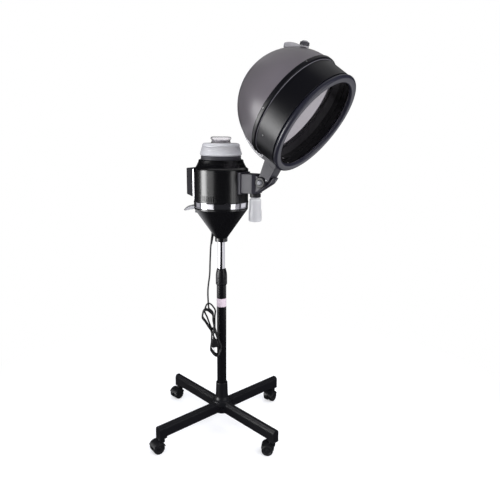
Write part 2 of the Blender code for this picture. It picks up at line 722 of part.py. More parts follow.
def build_controls(head):
    """Mounting plate and control box opposite the hood."""
    back = BODY_RADIUS + GAP
    plate = place(box_mesh("control_plate", (-BOX_INNER + GAP, -PLATE_HALF_WIDTH, BAND_TOP + 0.002),
                           (-0.0880, PLATE_HALF_WIDTH, BOX_TOP - 0.002)), "control_plate", head, "plate")
    cut(plate, turned_guide("plate_saddle", rod_profile(back, 0.80, 1.10), head, STEPS_LARGE))
    outline = [(-BOX_OUTER, BOX_TOP), (-BOX_OUTER, BOX_BOTTOM_OUTER), (-BOX_INNER, BOX_BOTTOM_INNER),
               (-BOX_INNER, BOX_TOP)]
    box = place(outline_mesh("control_box", outline, -BOX_HALF_WIDTH, BOX_HALF_WIDTH), "control_box",
                head, "grey")
    half = BOX_HALF_WIDTH - BOX_WALL
    hollow = box_mesh("box_hollow", (-BOX_OUTER + BOX_WALL, -half, BOX_BOTTOM_OUTER + 0.005),
                      (-BOX_INNER + 0.010, half, BOX_TOP - BOX_WALL))
    cut(box, guide(hollow, "box_hollow", head))
    face = -BOX_OUTER
    for name, radius, height, side in (("timer_hole", 0.0045, TIMER_Z, 0.0),
                                       ("lamp_hole", 0.0033, LAMP_Z, LAMP_Y)):
        hole = rod_mesh(name, radius, (face - 0.01, side, height), (face + 0.01, side, height), 14)
        cut(box, guide(hole, name, head))
    window = box_mesh("rocker_window", (face - 0.01, ROCKER_Y - 0.0100, ROCKER_Z - 0.0065),
                      (face + 0.01, ROCKER_Y + 0.0100, ROCKER_Z + 0.0065))
    cut(box, guide(window, "rocker_window", head))
    lamp = [(0.0, 0.0020), (0.0025, 0.0018), (0.0042, GAP), (0.0030, GAP), (0.0030, -0.0070),
            (0.0, -0.0070)]
    lens = turned("pilot_lamp", lamp, head, "red", 12, location=(face, LAMP_Y, LAMP_Z))
    lens.rotation_euler = (0.0, math.radians(-90.0), 0.0)


def build_timer(timer):
    """Timer knob, with its pointer, on a shaft through the box's face."""
    knob = [(0.0, 0.0150), (0.0125, 0.0150), (0.0140, 0.0135), (0.0150, 0.0010), (0.0042, 0.0010),
            (0.0042, -0.0080), (0.0, -0.0080)]
    piece = turned("timer_knob", knob, timer, "matt", STEPS_SMALL)
    pointer = box_mesh("pointer", (0.002, -0.0012, 0.012), (0.0130, 0.0012, 0.0162))
    join(piece, guide(pointer, "pointer", timer))


def build_rocker(rocker):
    """Power rocker on its own axis inside the window."""
    outline = [(0.0030, 0.0), (0.0046, 0.0086), (0.0040, 0.0092), (-0.0060, 0.0040),
               (-0.0060, -0.0040), (0.0006, -0.0092), (0.0012, -0.0086)]
    mesh = outline_mesh("power_rocker", outline, -0.0055, 0.0055)
    # drawn with its face to +X; turned so that the face looks to -X and the length runs along Y
    turn = Matrix.Rotation(math.radians(180.0), 4, "Z") @ Matrix.Rotation(math.radians(90.0), 4, "X")
    mesh.transform(turn)
    place(mesh, "power_rocker", rocker, "matt")


def build_tap(head):
    """Drain tap body under the control side."""
    block = box_mesh("drain_tap", (-TAP_OUTER, -TAP_HALF_WIDTH, TAP_BOTTOM),
                     (-TAP_INNER, TAP_HALF_WIDTH, TAP_TOP), 0.0015)
    tap = place(block, "drain_tap", head, "matt")
    far = TAP_OUTER - 0.002
    wall = [(0.0, 0.95), (far, 0.95), (far, BAND_BOTTOM - GAP), (CONE_RADIUS + 2 * GAP, BAND_BOTTOM - GAP),
            (CONE_RADIUS + 2 * GAP, CONE_SHOULDER), (SOCKET_RADIUS + 0.0016, SOCKET_TOP), (0.0, SOCKET_TOP)]
    cut(tap, turned_guide("tap_saddle", wall, head, STEPS_LARGE))


def build_lever(lever):
    """Drain lever, a thin curved paddle on the end of the tap."""
    outline = (arc((0.0, 0.0), LEVER_EYE, -80, 90, 6)
               + [(-0.0126, 0.0045), (-0.0306, -0.0020), (-0.0481, -0.0155), (-0.0446, -0.0165)])
    place(outline_mesh("drain_lever", outline, -LEVER_HALF_WIDTH, LEVER_HALF_WIDTH), "drain_lever",
          lever, "chrome")


def build_yoke(head):
    """Saddle on the body, the yoke with its lug and rest plate, and the stop bumper."""
    saddle = place(box_mesh("yoke_saddle", (0.0860, -0.0310, YOKE_BOTTOM - 0.005),
                            (YOKE_BACK - GAP, 0.0310, YOKE_TOP + 0.0045)), "yoke_saddle", head, "matt")
    cut(saddle, turned_guide("saddle_bore", rod_profile(BODY_RADIUS + GAP, 0.89, 1.02), head, STEPS_LARGE))
    low = KNUCKLE_HALF
    plan = [(YOKE_BACK, -YOKE_HALF), (YOKE_BEND, -YOKE_HALF), (YOKE_FRONT, -low), (YOKE_FRONT, low),
            (YOKE_BEND, YOKE_HALF), (YOKE_BACK, YOKE_HALF)]
    middle = (YOKE_TOP + YOKE_BOTTOM) / 2
    half = (YOKE_TOP - YOKE_BOTTOM) / 2
    mesh = outline_mesh("yoke", plan, -half, half)
    # the plan was drawn upright, so it is laid flat and raised to its height
    mesh.transform(Matrix.Translation((0.0, 0.0, middle)) @ Matrix.Rotation(math.radians(-90), 4, "X"))
    yoke = place(mesh, "yoke", head, "matt")
    inside = YOKE_FRONT - 0.010
    lug = ([(inside, YOKE_BOTTOM + 0.0002), (0.1700, YOKE_BOTTOM + 0.0125)]
           + arc((HINGE_X, HINGE_Z), KNUCKLE_RADIUS, -62, 110, 9)
           + [(inside, YOKE_TOP - 0.0015)])
    side = KNUCKLE_HALF - 0.0001
    join(yoke, guide(outline_mesh("yoke_lug", lug, -side, side), "yoke_lug", head))
    join(yoke, guide(outline_mesh("rest_plate", REST_OUTLINE, -REST_HALF, REST_HALF), "rest_plate", head))
    hole = rod_mesh("yoke_hole", HINGE_BOLT_RADIUS + GAP, (HINGE_X, -0.05, HINGE_Z),
                    (HINGE_X, 0.05, HINGE_Z), STEPS_MEDIUM)
    cut(yoke, guide(hole, "yoke_hole", head))
    build_bumper(head, yoke)


def build_bumper(head, yoke):
    """Stop button riveted through the bent end of the rest plate."""
    bend = Vector((REST_OUTLINE[5][0], 0.0, REST_OUTLINE[5][1]))
    tip = Vector((REST_OUTLINE[4][0], 0.0, REST_OUTLINE[4][1]))
    along = (tip - bend).normalized()
    facing = Vector((-along.z, 0.0, along.x))
    seat = bend.lerp(tip, BUMPER_SHARE)
    back = -0.0046
    points = [(0.0, BUMPER_HEIGHT), (BUMPER_RADIUS, BUMPER_HEIGHT), (BUMPER_RADIUS, GAP),
              (BUMPER_STUD, GAP), (BUMPER_STUD, back), (0.0030, back), (0.0030, back - 0.0018),
              (0.0, back - 0.0018)]
    bumper = turned("stop_bumper", points, head, "steel", 12, location=seat)
    bumper.rotation_euler = facing.to_track_quat("Z", "Y").to_euler()
    hole = rod_mesh("bumper_hole", BUMPER_STUD + GAP, seat - facing * 0.01, seat + facing * 0.01, 12)
    cut(yoke, guide(hole, "bumper_hole", head))


def build_bottle_cap(head):
    """Screw cap that hangs the drip bottle under the yoke."""
    top = YOKE_BOTTOM - 3 * GAP
    bottom = BOTTLE_TOP + 0.0005
    inner = BOTTLE_NECK + 0.0010
    points = [(0.0, top), (BOTTLE_CAP_RADIUS - 0.001, top), (BOTTLE_CAP_RADIUS, top - 0.001),
              (BOTTLE_CAP_RADIUS, bottom), (inner, bottom), (inner, top - 0.003), (0.0, top - 0.003)]
    turned("bottle_cap", points, head, "matt", STEPS_SMALL, location=(BOTTLE_X, 0.0, 0.0))


def build_bottle(bottle):
    """Drip bottle, open at its neck; its frame is at the bottle's shoulder."""
    wall = BOTTLE_WALL
    outer = BOTTLE_RADIUS
    floor = BOTTLE_BOTTOM - BOTTLE_TOP
    neck = BOTTLE_NECK
    lip = 0.0095
    points = [(neck, lip), (neck, -0.0020), (outer - 0.001, -0.0050), (outer, -0.0090),
              (outer, floor + 0.005), (outer - 0.004, floor), (0.0, floor), (0.0, floor + wall),
              (outer - 0.0050, floor + wall), (outer - wall, floor + 0.0055), (outer - wall, -0.0090),
              (neck - wall, -0.0050), (neck - wall, lip)]
    turned("drip_bottle", points, bottle, "milk", STEPS_SMALL, closed=True)


# ---------------------------------------------------------------- reservoir
def build_jar(jar):
    """Water jar on the gasket, open at its neck and at the valve hole in its floor."""
    curve = 0.009
    valve = 0.0050
    lip = JAR_TOP + NECK_HEIGHT
    inner_neck = NECK_RADIUS - JAR_WALL
    floor = GASKET_TOP + JAR_WALL
    head = arc((JAR_HEAD_RADIUS - curve, JAR_TOP - curve), curve, 90, 0, 3)
    foot = [(JAR_FOOT_RADIUS, GASKET_TOP + 0.004), (JAR_FOOT_RADIUS - 0.003, GASKET_TOP)]
    points = ([(NECK_RADIUS, lip), (NECK_RADIUS, JAR_TOP)] + head + foot
              + [(valve, GASKET_TOP), (valve, floor), (JAR_FOOT_RADIUS - 0.006, floor),
                 (JAR_HEAD_RADIUS - JAR_WALL - 0.0005, JAR_TOP - 0.010),
                 (JAR_HEAD_RADIUS - 0.010, JAR_TOP - JAR_WALL), (inner_neck, JAR_TOP - JAR_WALL),
                 (inner_neck, lip)])
    turned("reservoir_jar", points, jar, "milk", STEPS_LARGE, closed=True)


def build_jar_cap(cap):
    """Screw cap on the jar's neck, with a dished top."""
    floor = JAR_TOP + GAP
    inner = NECK_RADIUS + 0.0004
    points = [(0.0, CAP_TOP - 0.004), (0.0270, CAP_TOP - 0.004), (0.0290, CAP_TOP),
              (CAP_RADIUS - 0.003, CAP_TOP), (CAP_RADIUS, CAP_TOP - 0.003), (CAP_RADIUS - 0.001, floor),
              (inner, floor), (inner, CAP_TOP - 0.008), (0.0, CAP_TOP - 0.008)]
    turned("reservoir_cap", points, cap, "clear", STEPS_MEDIUM)


# ---------------------------------------------------------------- hood
def build_hinge_parts(hinge):
    """Bracket with its fork, friction disc and hinge bolt, round the hinge axis."""
    lean = math.radians(ARM_LEAN)

    def spot(along, side):
        """Point up the leaning bracket and towards its hood side."""
        return (along * math.sin(lean) + side * math.cos(lean),
                along * math.cos(lean) - side * math.sin(lean))

    back = -0.0160
    front = 0.0250
    bar = [spot(0.0285, back), spot(0.0310, front), to_hinge(0.0235, SADDLE_RADIUS + GAP),
           to_hinge(0.0730, SADDLE_RADIUS + GAP)]
    bracket = place(outline_mesh("hood_bracket", bar, -CHEEK_OUTER, CHEEK_OUTER), "hood_bracket", hinge,
                    "matt")
    start = 90.0 - ARM_LEAN
    cheek = (arc((0.0, 0.0), KNUCKLE_RADIUS, start + 75, start + 285, 12)
             + [spot(0.0180, front - 0.0010), spot(0.0400, front), spot(0.0400, back)])
    for side, name in ((-1, "near_cheek"), (1, "far_cheek")):
        low, high = sorted((side * (KNUCKLE_HALF + GAP), side * (CHEEK_OUTER - 0.0001)))
        join(bracket, guide(outline_mesh(name, cheek, low, high), name, hinge))
    hole = rod_mesh("bracket_hole", HINGE_BOLT_RADIUS + GAP, (0.0, -0.05, 0.0), (0.0, 0.05, 0.0),
                    STEPS_MEDIUM)
    cut(bracket, guide(hole, "bracket_hole", hinge))
    disc = turned("friction_disc", ring_profile(HINGE_BOLT_RADIUS + GAP, DISC_RADIUS, 0.0, DISC_WIDTH),
                  hinge, "rubber", STEPS_MEDIUM, closed=True, location=(0.0, -CHEEK_OUTER - GAP, 0.0))
    disc.rotation_euler = (math.radians(90.0), 0.0, 0.0)
    near = CHEEK_OUTER + GAP * 2 + DISC_WIDTH
    far = CHEEK_OUTER + GAP
    shank = HINGE_BOLT_RADIUS
    bolt = [(0.0, near + 0.0065), (0.0070, near + 0.0065), (0.0092, near + 0.0050), (0.0098, near),
            (shank, near), (shank, -far), (0.0090, -far), (0.0090, -far - 0.0060),
            (0.0080, -far - 0.0070), (0.0, -far - 0.0070)]
    pin = turned("hinge_bolt", bolt, hinge, "chrome", STEPS_SMALL)
    pin.rotation_euler = (math.radians(90.0), 0.0, 0.0)


def to_hinge(depth, radius):
    """Point below the hood axis, at a depth behind the opening, as (x, z) from the hinge."""
    tilt = math.radians(HOOD_TILT)
    across = HOOD_X - depth * math.cos(tilt) - radius * math.sin(tilt) - HINGE_X
    height = HOOD_Z + depth * math.sin(tilt) - radius * math.cos(tilt) - HINGE_Z
    return (across, height)


def build_hood(hood):
    """Lip, band, ring and dome, turned round the hood's axis, and the saddle on the band."""
    inner_sleeve = SLEEVE_RADIUS - SLEEVE_WALL
    lip = (arc((LIP_RADIUS - LIP_ROLL, LIP_FRONT), LIP_ROLL, 75, -90, 5)
           + arc((LIP_INNER + LIP_ROLL, LIP_FRONT), LIP_ROLL, -90, -220, 4)
           + [(inner_sleeve, LIP_FRONT + 0.014), (inner_sleeve, SLEEVE_DEPTH),
              (SLEEVE_RADIUS, SLEEVE_DEPTH), (SLEEVE_RADIUS, BAND_SHELL_START - GAP)])
    turned("hood_lip", lip, hood, "matt", STEPS_HOOD, closed=True)
    inner = BAND_SHELL_RADIUS - BAND_SHELL_WALL
    band = [(BAND_SHELL_RADIUS, RING_START - GAP), (BAND_SHELL_RADIUS, BAND_SHELL_START),
            (inner, BAND_SHELL_START), (inner, RING_START - GAP)]
    turned("hood_band", band, hood, "matt", STEPS_HOOD, closed=True)
    shelf = RING_START + RING_SHELF
    seat = DOME_RADIUS + GAP
    section = [(RING_RADIUS - 0.0015, RING_END), (RING_RADIUS, RING_END - 0.0015),
               (RING_RADIUS, RING_START + 0.001), (RING_RADIUS - 0.001, RING_START),
               (RING_BORE, RING_START), (RING_BORE, shelf), (seat, shelf), (seat, RING_END)]
    turned("hood_ring", section, hood, "gloss", STEPS_HOOD, closed=True)
    build_dome(hood, shelf + GAP)
    saddle = place(box_mesh("hood_saddle", (-SADDLE_RADIUS, -SADDLE_HALF_WIDTH, SADDLE_START),
                            (-0.1650, SADDLE_HALF_WIDTH, SADDLE_END)), "hood_saddle", hood, "matt")
    core = rod_profile(BAND_SHELL_RADIUS + GAP, 0.0, 0.20)
    cut(saddle, turned_guide("saddle_core", core, hood, 2 * STEPS_HOOD))


def build_dome(hood, rim):
    """Smoked dome with the vent hole and the hole for the knob's stud."""
    centre = (0.0, DOME_CENTRE)
    inner_radius = DOME_RADIUS - DOME_WALL
    start = math.degrees(math.asin((rim - DOME_CENTRE) / DOME_RADIUS))
    inner_start = math.degrees(math.asin((rim - DOME_CENTRE) / inner_radius))
    outer = arc(centre, DOME_RADIUS, 90, start, 9)
    inner = arc(centre, inner_radius, inner_start, 90, 7)
    outer[0] = (0.0, outer[0][1])
    inner[-1] = (0.0, inner[-1][1])
    dome = turned("hood_dome", outer + inner, hood, "smoke", STEPS_HOOD, closed=True)
    middle = Vector((0.0, 0.0, DOME_CENTRE))
    for name, radius, axis in (("stud_hole", STUD_RADIUS + GAP, dome_axis(0.0)),
                               ("vent_hole", VENT_RADIUS, dome_axis(VENT_ANGLE))):
        hole = rod_mesh(name, radius, middle + axis * (DOME_RADIUS - 0.02),
                        middle + axis * (DOME_RADIUS + 0.02), 14)
        cut(dome, guide(hole, name, hood))


def dome_axis(degrees):
    """Direction from the dome's centre to a point this far from the knob, under the scoop."""
    polar_angle = math.radians(KNOB_POLAR)
    turn = math.radians(SCOOP_TURN)
    knob = Vector((math.sin(polar_angle), 0.0, math.cos(polar_angle)))
    towards_top = Vector((-math.cos(polar_angle), 0.0, math.sin(polar_angle)))
    aside = Vector((0.0, -1.0, 0.0))
    scoop = towards_top * math.cos(turn) + aside * math.sin(turn)
    angle = math.radians(degrees)
    return knob * math.cos(angle) + scoop * math.sin(angle)


def build_duct(hood):
    """Clear steam duct that runs from the bracket over the ring and up the dome's back."""
    centre = (0.0, DOME_CENTRE)
    ledge = RING_RADIUS + 0.0020
    outer = arc(centre, DUCT_RADIUS, DUCT_FROM, DUCT_TO, 12)
    inner = (arc(centre, DOME_RADIUS + 0.0008, DUCT_TO - 4.0, 174, 9)
             + arc(centre, ledge, 176, DUCT_FROM, 3))
    duct = place(outline_mesh("steam_duct", outer + inner, -DUCT_HALF_WIDTH, DUCT_HALF_WIDTH),
                 "steam_duct", hood, "clear")
    core = ([(0.0, 0.3)] + arc(centre, DOME_RADIUS + 0.0006, 90, 2, 20)
            + [(RING_RADIUS + 0.0005, RING_END + 0.004), (RING_RADIUS + 0.0005, 0.080), (0.0, 0.080)])
    cut(duct, turned_guide("duct_core", core, hood, 2 * STEPS_HOOD))


def build_scoop(vent):
    """Pale scoop over the vent, swinging round the knob's stud; Z leaves the dome here."""
    bulb = bpy.data.meshes.new("vent_scoop")
    builder = bmesh.new()
    bmesh.ops.create_uvsphere(builder, u_segments=14, v_segments=8, radius=1.0)
    shape = (Matrix.Rotation(math.radians(180.0 + SCOOP_TURN), 4, "Z")
             @ Matrix.Translation((SCOOP_SIZE[0] - 0.001, 0.0, -0.0045))
             @ Matrix.Rotation(math.radians(-5.0), 4, "Y") @ Matrix.Diagonal((*SCOOP_SIZE, 1.0)))
    bmesh.ops.transform(builder, matrix=shape, verts=builder.verts[:])
    builder.to_mesh(bulb)
    builder.free()
    scoop = place(bulb, "vent_scoop", vent, "milk")
    seat = 0.0045
    cut(scoop, turned_guide("knob_pocket", rod_profile(0.0162, seat, 0.030), vent, STEPS_MEDIUM))
    join(scoop, turned_guide("scoop_eye", rod_profile(0.0150, -0.0080, seat), vent))
    skin = DOME_RADIUS + 0.0005
    ball = [(0.0, 0.0005)] + arc((0.0, -DOME_RADIUS), skin, 86, 20, 14) + [(0.0, -0.1200)]
    cut(scoop, turned_guide("scoop_core", ball, vent, STEPS_LARGE))
    cut(scoop, turned_guide("scoop_bore", rod_profile(STUD_RADIUS + GAP, -0.02, 0.02), vent))


def build_knob(knob):
    """Clamping knob with a stud through the scoop and the dome."""
    points = [(0.0, 0.0200), (0.0085, 0.0196), (0.0125, 0.0172), (0.0148, 0.0130), (0.0154, 0.0080),
              (0.0142, 0.0048), (STUD_RADIUS, 0.0048), (STUD_RADIUS, -0.0060), (0.0, -0.0060)]
    turned("vent_knob", points, knob, "grey", STEPS_SMALL)


# ---------------------------------------------------------------- cord
def smooth_route(points, count):
    """Evenly spaced points on a smooth curve through the route's own points."""
    padded = [points[0] * 2 - points[1]] + points + [points[-1] * 2 - points[-2]]
    fine = []
    for index in range(len(points) - 1):
        before, start, end, after = padded[index:index + 4]
        for step in range(24):
            t = step / 24
            fine.append(0.5 * (start * 2 + (end - before) * t
                               + (before * 2 - start * 5 + end * 4 - after) * t * t
                               + (start * 3 - before - end * 3 + after) * t * t * t))
    fine.append(points[-1])
    lengths = [0.0]
    for first, second in zip(fine, fine[1:]):
        lengths.append(lengths[-1] + (second - first).length)
    result = []
    for step in range(count):
        target = lengths[-1] * step / (count - 1)
        index = min(range(len(lengths)), key=lambda item: abs(lengths[item] - target))
        low = max(min(index if lengths[index] <= target else index - 1, len(fine) - 2), 0)
        share = (target - lengths[low]) / max(lengths[low + 1] - lengths[low], 1e-9)
        result.append(fine[low].lerp(fine[low + 1], share))
    return result


def tube(name, points, radius, resolution, parent, material):
    """Round tube along a chain of points, with filled ends."""
    curve = bpy.data.curves.new(name, "CURVE")
    curve.dimensions = "3D"
    curve.bevel_depth = radius
    curve.bevel_resolution = resolution
    curve.use_fill_caps = True
    curve.render_resolution_u = 0
    spline = curve.splines.new("POLY")
    spline.points.add(len(points) - 1)
    for point, place_at in zip(spline.points, points):
        point.co = (*place_at, 1.0)
    piece = bpy.data.objects.new(name, curve)
    piece.parent = parent
    curve.materials.append(MATERIALS[material])
    PARTS.objects.link(piece)
    return piece


def hang(side, front, height):
    """Point from its place across and in front of the column, as the hank hangs."""
    turn = math.radians(CORD_TURN)
    right = Vector((math.cos(turn), math.sin(turn), 0.0))
    near = Vector((math.sin(turn), -math.cos(turn), 0.0))
    return right * side + near * front + Vector((0.0, 0.0, height))


def ease(share):
    """Smooth step from 0 to 1."""
    share = min(1.0, max(0.0, share))
    return share * share * (3.0 - 2.0 * share)


def hank_point(turns):
    """Centre of the hank's tube after a number of turns from the top, to the right first."""
    angle = math.pi / 2 - 2 * math.pi * turns
    rise = math.sin(angle)
    bend = 0.66                     # share of the half length where the round ends begin
    if abs(rise) > bend:
        across = 0.98 * HANK_HALF_WIDTH * math.cos(angle) / math.cos(math.asin(bend))
    else:
        pinch = HANK_WAIST / HANK_HALF_WIDTH
        swell = pinch + (1.0 - pinch) * min(1.0, abs(rise) * 1.5) ** 1.3
        across = HANK_HALF_WIDTH * swell * math.cos(angle)
    loose = ease((0.5 - abs(turns - LOOSE_TURNS)) * 3.0)
    upper = HANK_UPPER + HANK_RISE * loose
    along = rise * (upper if rise > 0.0 else HANK_LOWER)
    above = LEAN_UPPER + (LEAN_LOOSE - LEAN_UPPER) * loose
    lean = math.radians(LEAN_LOWER + (above - LEAN_LOWER) * ease((rise + 0.3) / 0.6))
    side = across * math.cos(lean) - along * math.sin(lean)
    height = across * math.sin(lean) + along * math.cos(lean)
    front = (turns - HANK_LOOPS / 2) * HANK_STEP
    return hang(HANK_CENTRE[0] + side, HANK_CENTRE[1] + front, HANK_CENTRE[2] + height)


def build_cord(head):
    """Cord from the gland to the hank, the hank, and the plug on its end."""
    top, end = gland_ends()
    gland_axis = (top - end).normalized()
    steps = round((HANK_LOOPS - HANK_START) * LOOP_POINTS)
    loops = [hank_point(HANK_START + step / LOOP_POINTS) for step in range(steps + 1)]
    first = (loops[0] - loops[1]).normalized()
    drop_start = end - gland_axis * GAP
    drop_end = loops[0] + first * GAP
    route = ([drop_start, drop_start - gland_axis * 0.012] + [hang(*spot) for spot in DROP_ROUTE]
             + [drop_end + first * 0.008, drop_end])
    tube("cord_drop", smooth_route(route, DROP_POINTS), CORD_RADIUS, 2, head, "rubber")
    entry = hang(*PLUG_TOP)
    axis = plug_axis()
    straight = 2 * CORD_RADIUS
    tail = smooth_route([loops[-2], loops[-1], entry + axis * (straight + 0.006), entry + axis * straight,
                         entry + axis * GAP], 12)
    hank = loops + [point for point in tail if (point - loops[-1]).dot(loops[-1] - loops[-2]) > 0.0]
    tube("cord_hank", hank, CORD_RADIUS, 1, head, "rubber")
    print("least gap of the hank to itself, mm:", round(least_gap(hank) * 1000, 2))
    build_plug(head, entry, axis)


def plug_axis():
    """Direction from the plug's blades to its cord."""
    lean = math.radians(PLUG_LEAN)
    return (hang(-math.sin(lean), 0.0, math.cos(lean)) - hang(0.0, 0.0, 0.0)).normalized()


def build_plug(head, entry, axis):
    """Two-blade plug with a short sleeve; its frame is where the cord enters."""
    top = -SLEEVE_LENGTH
    bottom = top - PLUG_LENGTH
    body = place(box_mesh("plug", (-PLUG_HALF_WIDTH, -PLUG_HALF_DEPTH, bottom),
                          (PLUG_HALF_WIDTH, PLUG_HALF_DEPTH, top), 0.004), "plug", head, "rubber", entry)
    facing = axis.cross(hang(0.0, 1.0, 0.0)).normalized()
    front = axis.cross(facing).normalized()
    frame = Matrix((facing, front, axis)).transposed()
    body.rotation_euler = frame.to_euler()
    sleeve = rod_profile(CORD_RADIUS + 0.0020, top - 0.002, 0.0)
    join(body, turned_guide("plug_sleeve", sleeve, head, STEPS_SMALL, location=entry,
                            rotation=frame.to_euler()))
    width, depth, length = BLADE_SIZE
    for side in (-1, 1):
        middle = side * BLADE_PITCH / 2
        blade = box_mesh("blade", (middle - width / 2, -depth / 2, bottom - length),
                         (middle + width / 2, depth / 2, bottom + 0.002))
        join(body, guide(blade, f"blade_{side + 2}", head, entry, frame.to_euler()))


def least_gap(points):
    """Least clear distance between stretches of the hank that aren't neighbours."""
    fine = []
    for first, second in zip(points, points[1:]):
        fine += [first.lerp(second, share / 4) for share in range(4)]
    least = 1.0
    skip = LOOP_POINTS
    for index, point in enumerate(fine):
        for other in fine[index + skip:]:
            least = min(least, (point - other).length)
    return least - 2 * CORD_RADIUS


# ---------------------------------------------------------------- assembly
def main():
    """Build every piece under the frame of its moving body."""
    stand = empty("stand", (COLUMN_X, COLUMN_Y, 0.0))
    build_stand(stand)
    for number in range(1, len(LEG_ANGLES) + 1):
        build_caster(number, stand)
    collar = empty("collar_body", (0.0, 0.0, 0.0), stand)
    build_collar(collar)
    mast = empty("mast_body", (0.0, 0.0, 0.0), stand)
    build_mast(mast)
    head = empty("head_body", (0.0, 0.0, 0.0), mast)
    build_head(head)
    timer = empty("timer_body", (-BOX_OUTER, 0.0, TIMER_Z), head, (0.0, math.radians(-90.0), 0.0))
    build_timer(timer)
    rocker = empty("rocker_body", (-BOX_OUTER + 0.0010, ROCKER_Y, ROCKER_Z), head)
    build_rocker(rocker)
    lever = empty("lever_body", (LEVER_X, 0.0, LEVER_Z), head)
    build_lever(lever)
    bottle = empty("bottle_body", (BOTTLE_X, 0.0, BOTTLE_TOP), head)
    build_bottle(bottle)
    jar = empty("jar_body", (0.0, 0.0, 0.0), head)
    build_jar(jar)
    cap = empty("cap_body", (0.0, 0.0, 0.0), jar)
    build_jar_cap(cap)
    hinge = empty("hood_body", (HINGE_X, 0.0, HINGE_Z), head)
    build_hinge_parts(hinge)
    tilt = math.radians(HOOD_TILT - 90.0)
    hood = empty("hood_axis", (HOOD_X - HINGE_X, 0.0, HOOD_Z - HINGE_Z), hinge, (0.0, tilt, 0.0))
    build_hood(hood)
    build_duct(hood)
    foot = Vector((0.0, 0.0, DOME_CENTRE)) + dome_axis(0.0) * DOME_RADIUS
    vent = empty("vent_body", foot, hood, (0.0, math.radians(KNOB_POLAR), 0.0))
    build_scoop(vent)
    knob = empty("knob_body", (0.0, 0.0, 0.0), vent)
    build_knob(knob)
    build_cord(head)


clear_scene()
PARTS = make_collection(COLLECTION)
TOOLS = make_collection(CUTTERS)
MATERIALS = make_materials()
main()
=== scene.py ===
"""Dressed model of a hood hair steamer on a rolling stand.

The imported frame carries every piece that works. This script gives each of them its finish and
replaces the faceted shells with smooth ones, hangs the cord at its real length, and sets up a
plain studio. Lengths are in metres and +Z is up, in the frame's own coordinates.
"""

import logging
from collections.abc import Iterable, Sequence
from dataclasses import dataclass
from enum import Enum
from functools import cache
from math import asin, cos, pi, radians, sin
from math import degrees as in_degrees

import bmesh
import bpy
from bmesh.types import BMesh, BMVert
from bpy.types import ID, Material, Node, NodeSocket, NodeTree, Object, bpy_prop_collection
from mathutils import Matrix, Vector


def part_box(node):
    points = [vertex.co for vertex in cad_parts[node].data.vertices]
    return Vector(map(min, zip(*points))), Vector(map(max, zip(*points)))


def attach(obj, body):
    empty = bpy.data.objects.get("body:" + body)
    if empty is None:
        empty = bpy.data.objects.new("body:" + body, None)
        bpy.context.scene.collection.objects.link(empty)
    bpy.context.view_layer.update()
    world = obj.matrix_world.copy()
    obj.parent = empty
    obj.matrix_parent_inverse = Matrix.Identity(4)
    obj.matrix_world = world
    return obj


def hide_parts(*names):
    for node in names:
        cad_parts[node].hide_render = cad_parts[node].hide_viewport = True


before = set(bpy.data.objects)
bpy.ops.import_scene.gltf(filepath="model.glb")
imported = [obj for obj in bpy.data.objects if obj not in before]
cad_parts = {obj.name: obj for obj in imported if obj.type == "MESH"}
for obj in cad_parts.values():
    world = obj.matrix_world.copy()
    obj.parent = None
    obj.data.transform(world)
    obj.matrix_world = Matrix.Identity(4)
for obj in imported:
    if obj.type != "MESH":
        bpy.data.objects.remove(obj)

LOG = logging.getLogger("hood_steamer")

Point = tuple[float, float]
Spot = tuple[float, float, float]
Colour = Spot

FINE = 112          # steps round the hood and the boiler
MEDIUM = 64         # steps round tubes, knobs and wheels
SMALL = 32          # steps round pins and other small pieces
GAP = 0.0003        # clearance between touching pieces, as in the frame
CASTER_HEADINGS = (206.0, 270.0, 260.0, 250.0)     # how the casters trail in the photograph
CREASE = 32.0       # degrees over which an edge stays crisp
CURVED = 40.0       # the same, for pieces with round forms of few steps
ROLLED = 50.0       # the same, for the hood's rolled rim


class Side(Enum):
    """Which of a pair of like pieces is meant."""

    LEFT = 1
    RIGHT = -1


class Drive(Enum):
    """Recess in the head of a screw."""

    CROSS = "cross"
    SOCKET = "socket"


def column_axis() -> Vector:
    """Return the foot of the column's axis on the floor, read from the frame."""
    low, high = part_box("column_tube")
    return Vector(((low.x + high.x) / 2, (low.y + high.y) / 2, 0.0))


COLUMN = column_axis()
AT_COLUMN = Matrix.Translation(COLUMN)
HERE = Matrix.Identity(4)


def at(x: float, z: float, y: float = 0.0) -> Matrix:
    """Return the frame at a point, counted from the column's foot."""
    return AT_COLUMN @ Matrix.Translation((x, y, z))


def spun(degrees: float, axis: str = "Z") -> Matrix:
    """Return a turn about an axis."""
    return Matrix.Rotation(radians(degrees), 4, axis)


# ---- shaping helpers
def arc(centre: Point, radius: float, start: float, end: float, count: int) -> list[Point]:
    """Points on an arc, with both ends.

    Args:
        centre: Middle of the arc.
        radius: Its radius.
        start: First angle.
        end: Last angle.
        count: Number of steps.

    Returns:
        The points.
    """
    points = []
    for step in range(count + 1):
        angle = radians(start + (end - start) * step / count)
        points.append((centre[0] + radius * cos(angle), centre[1] + radius * sin(angle)))
    return points


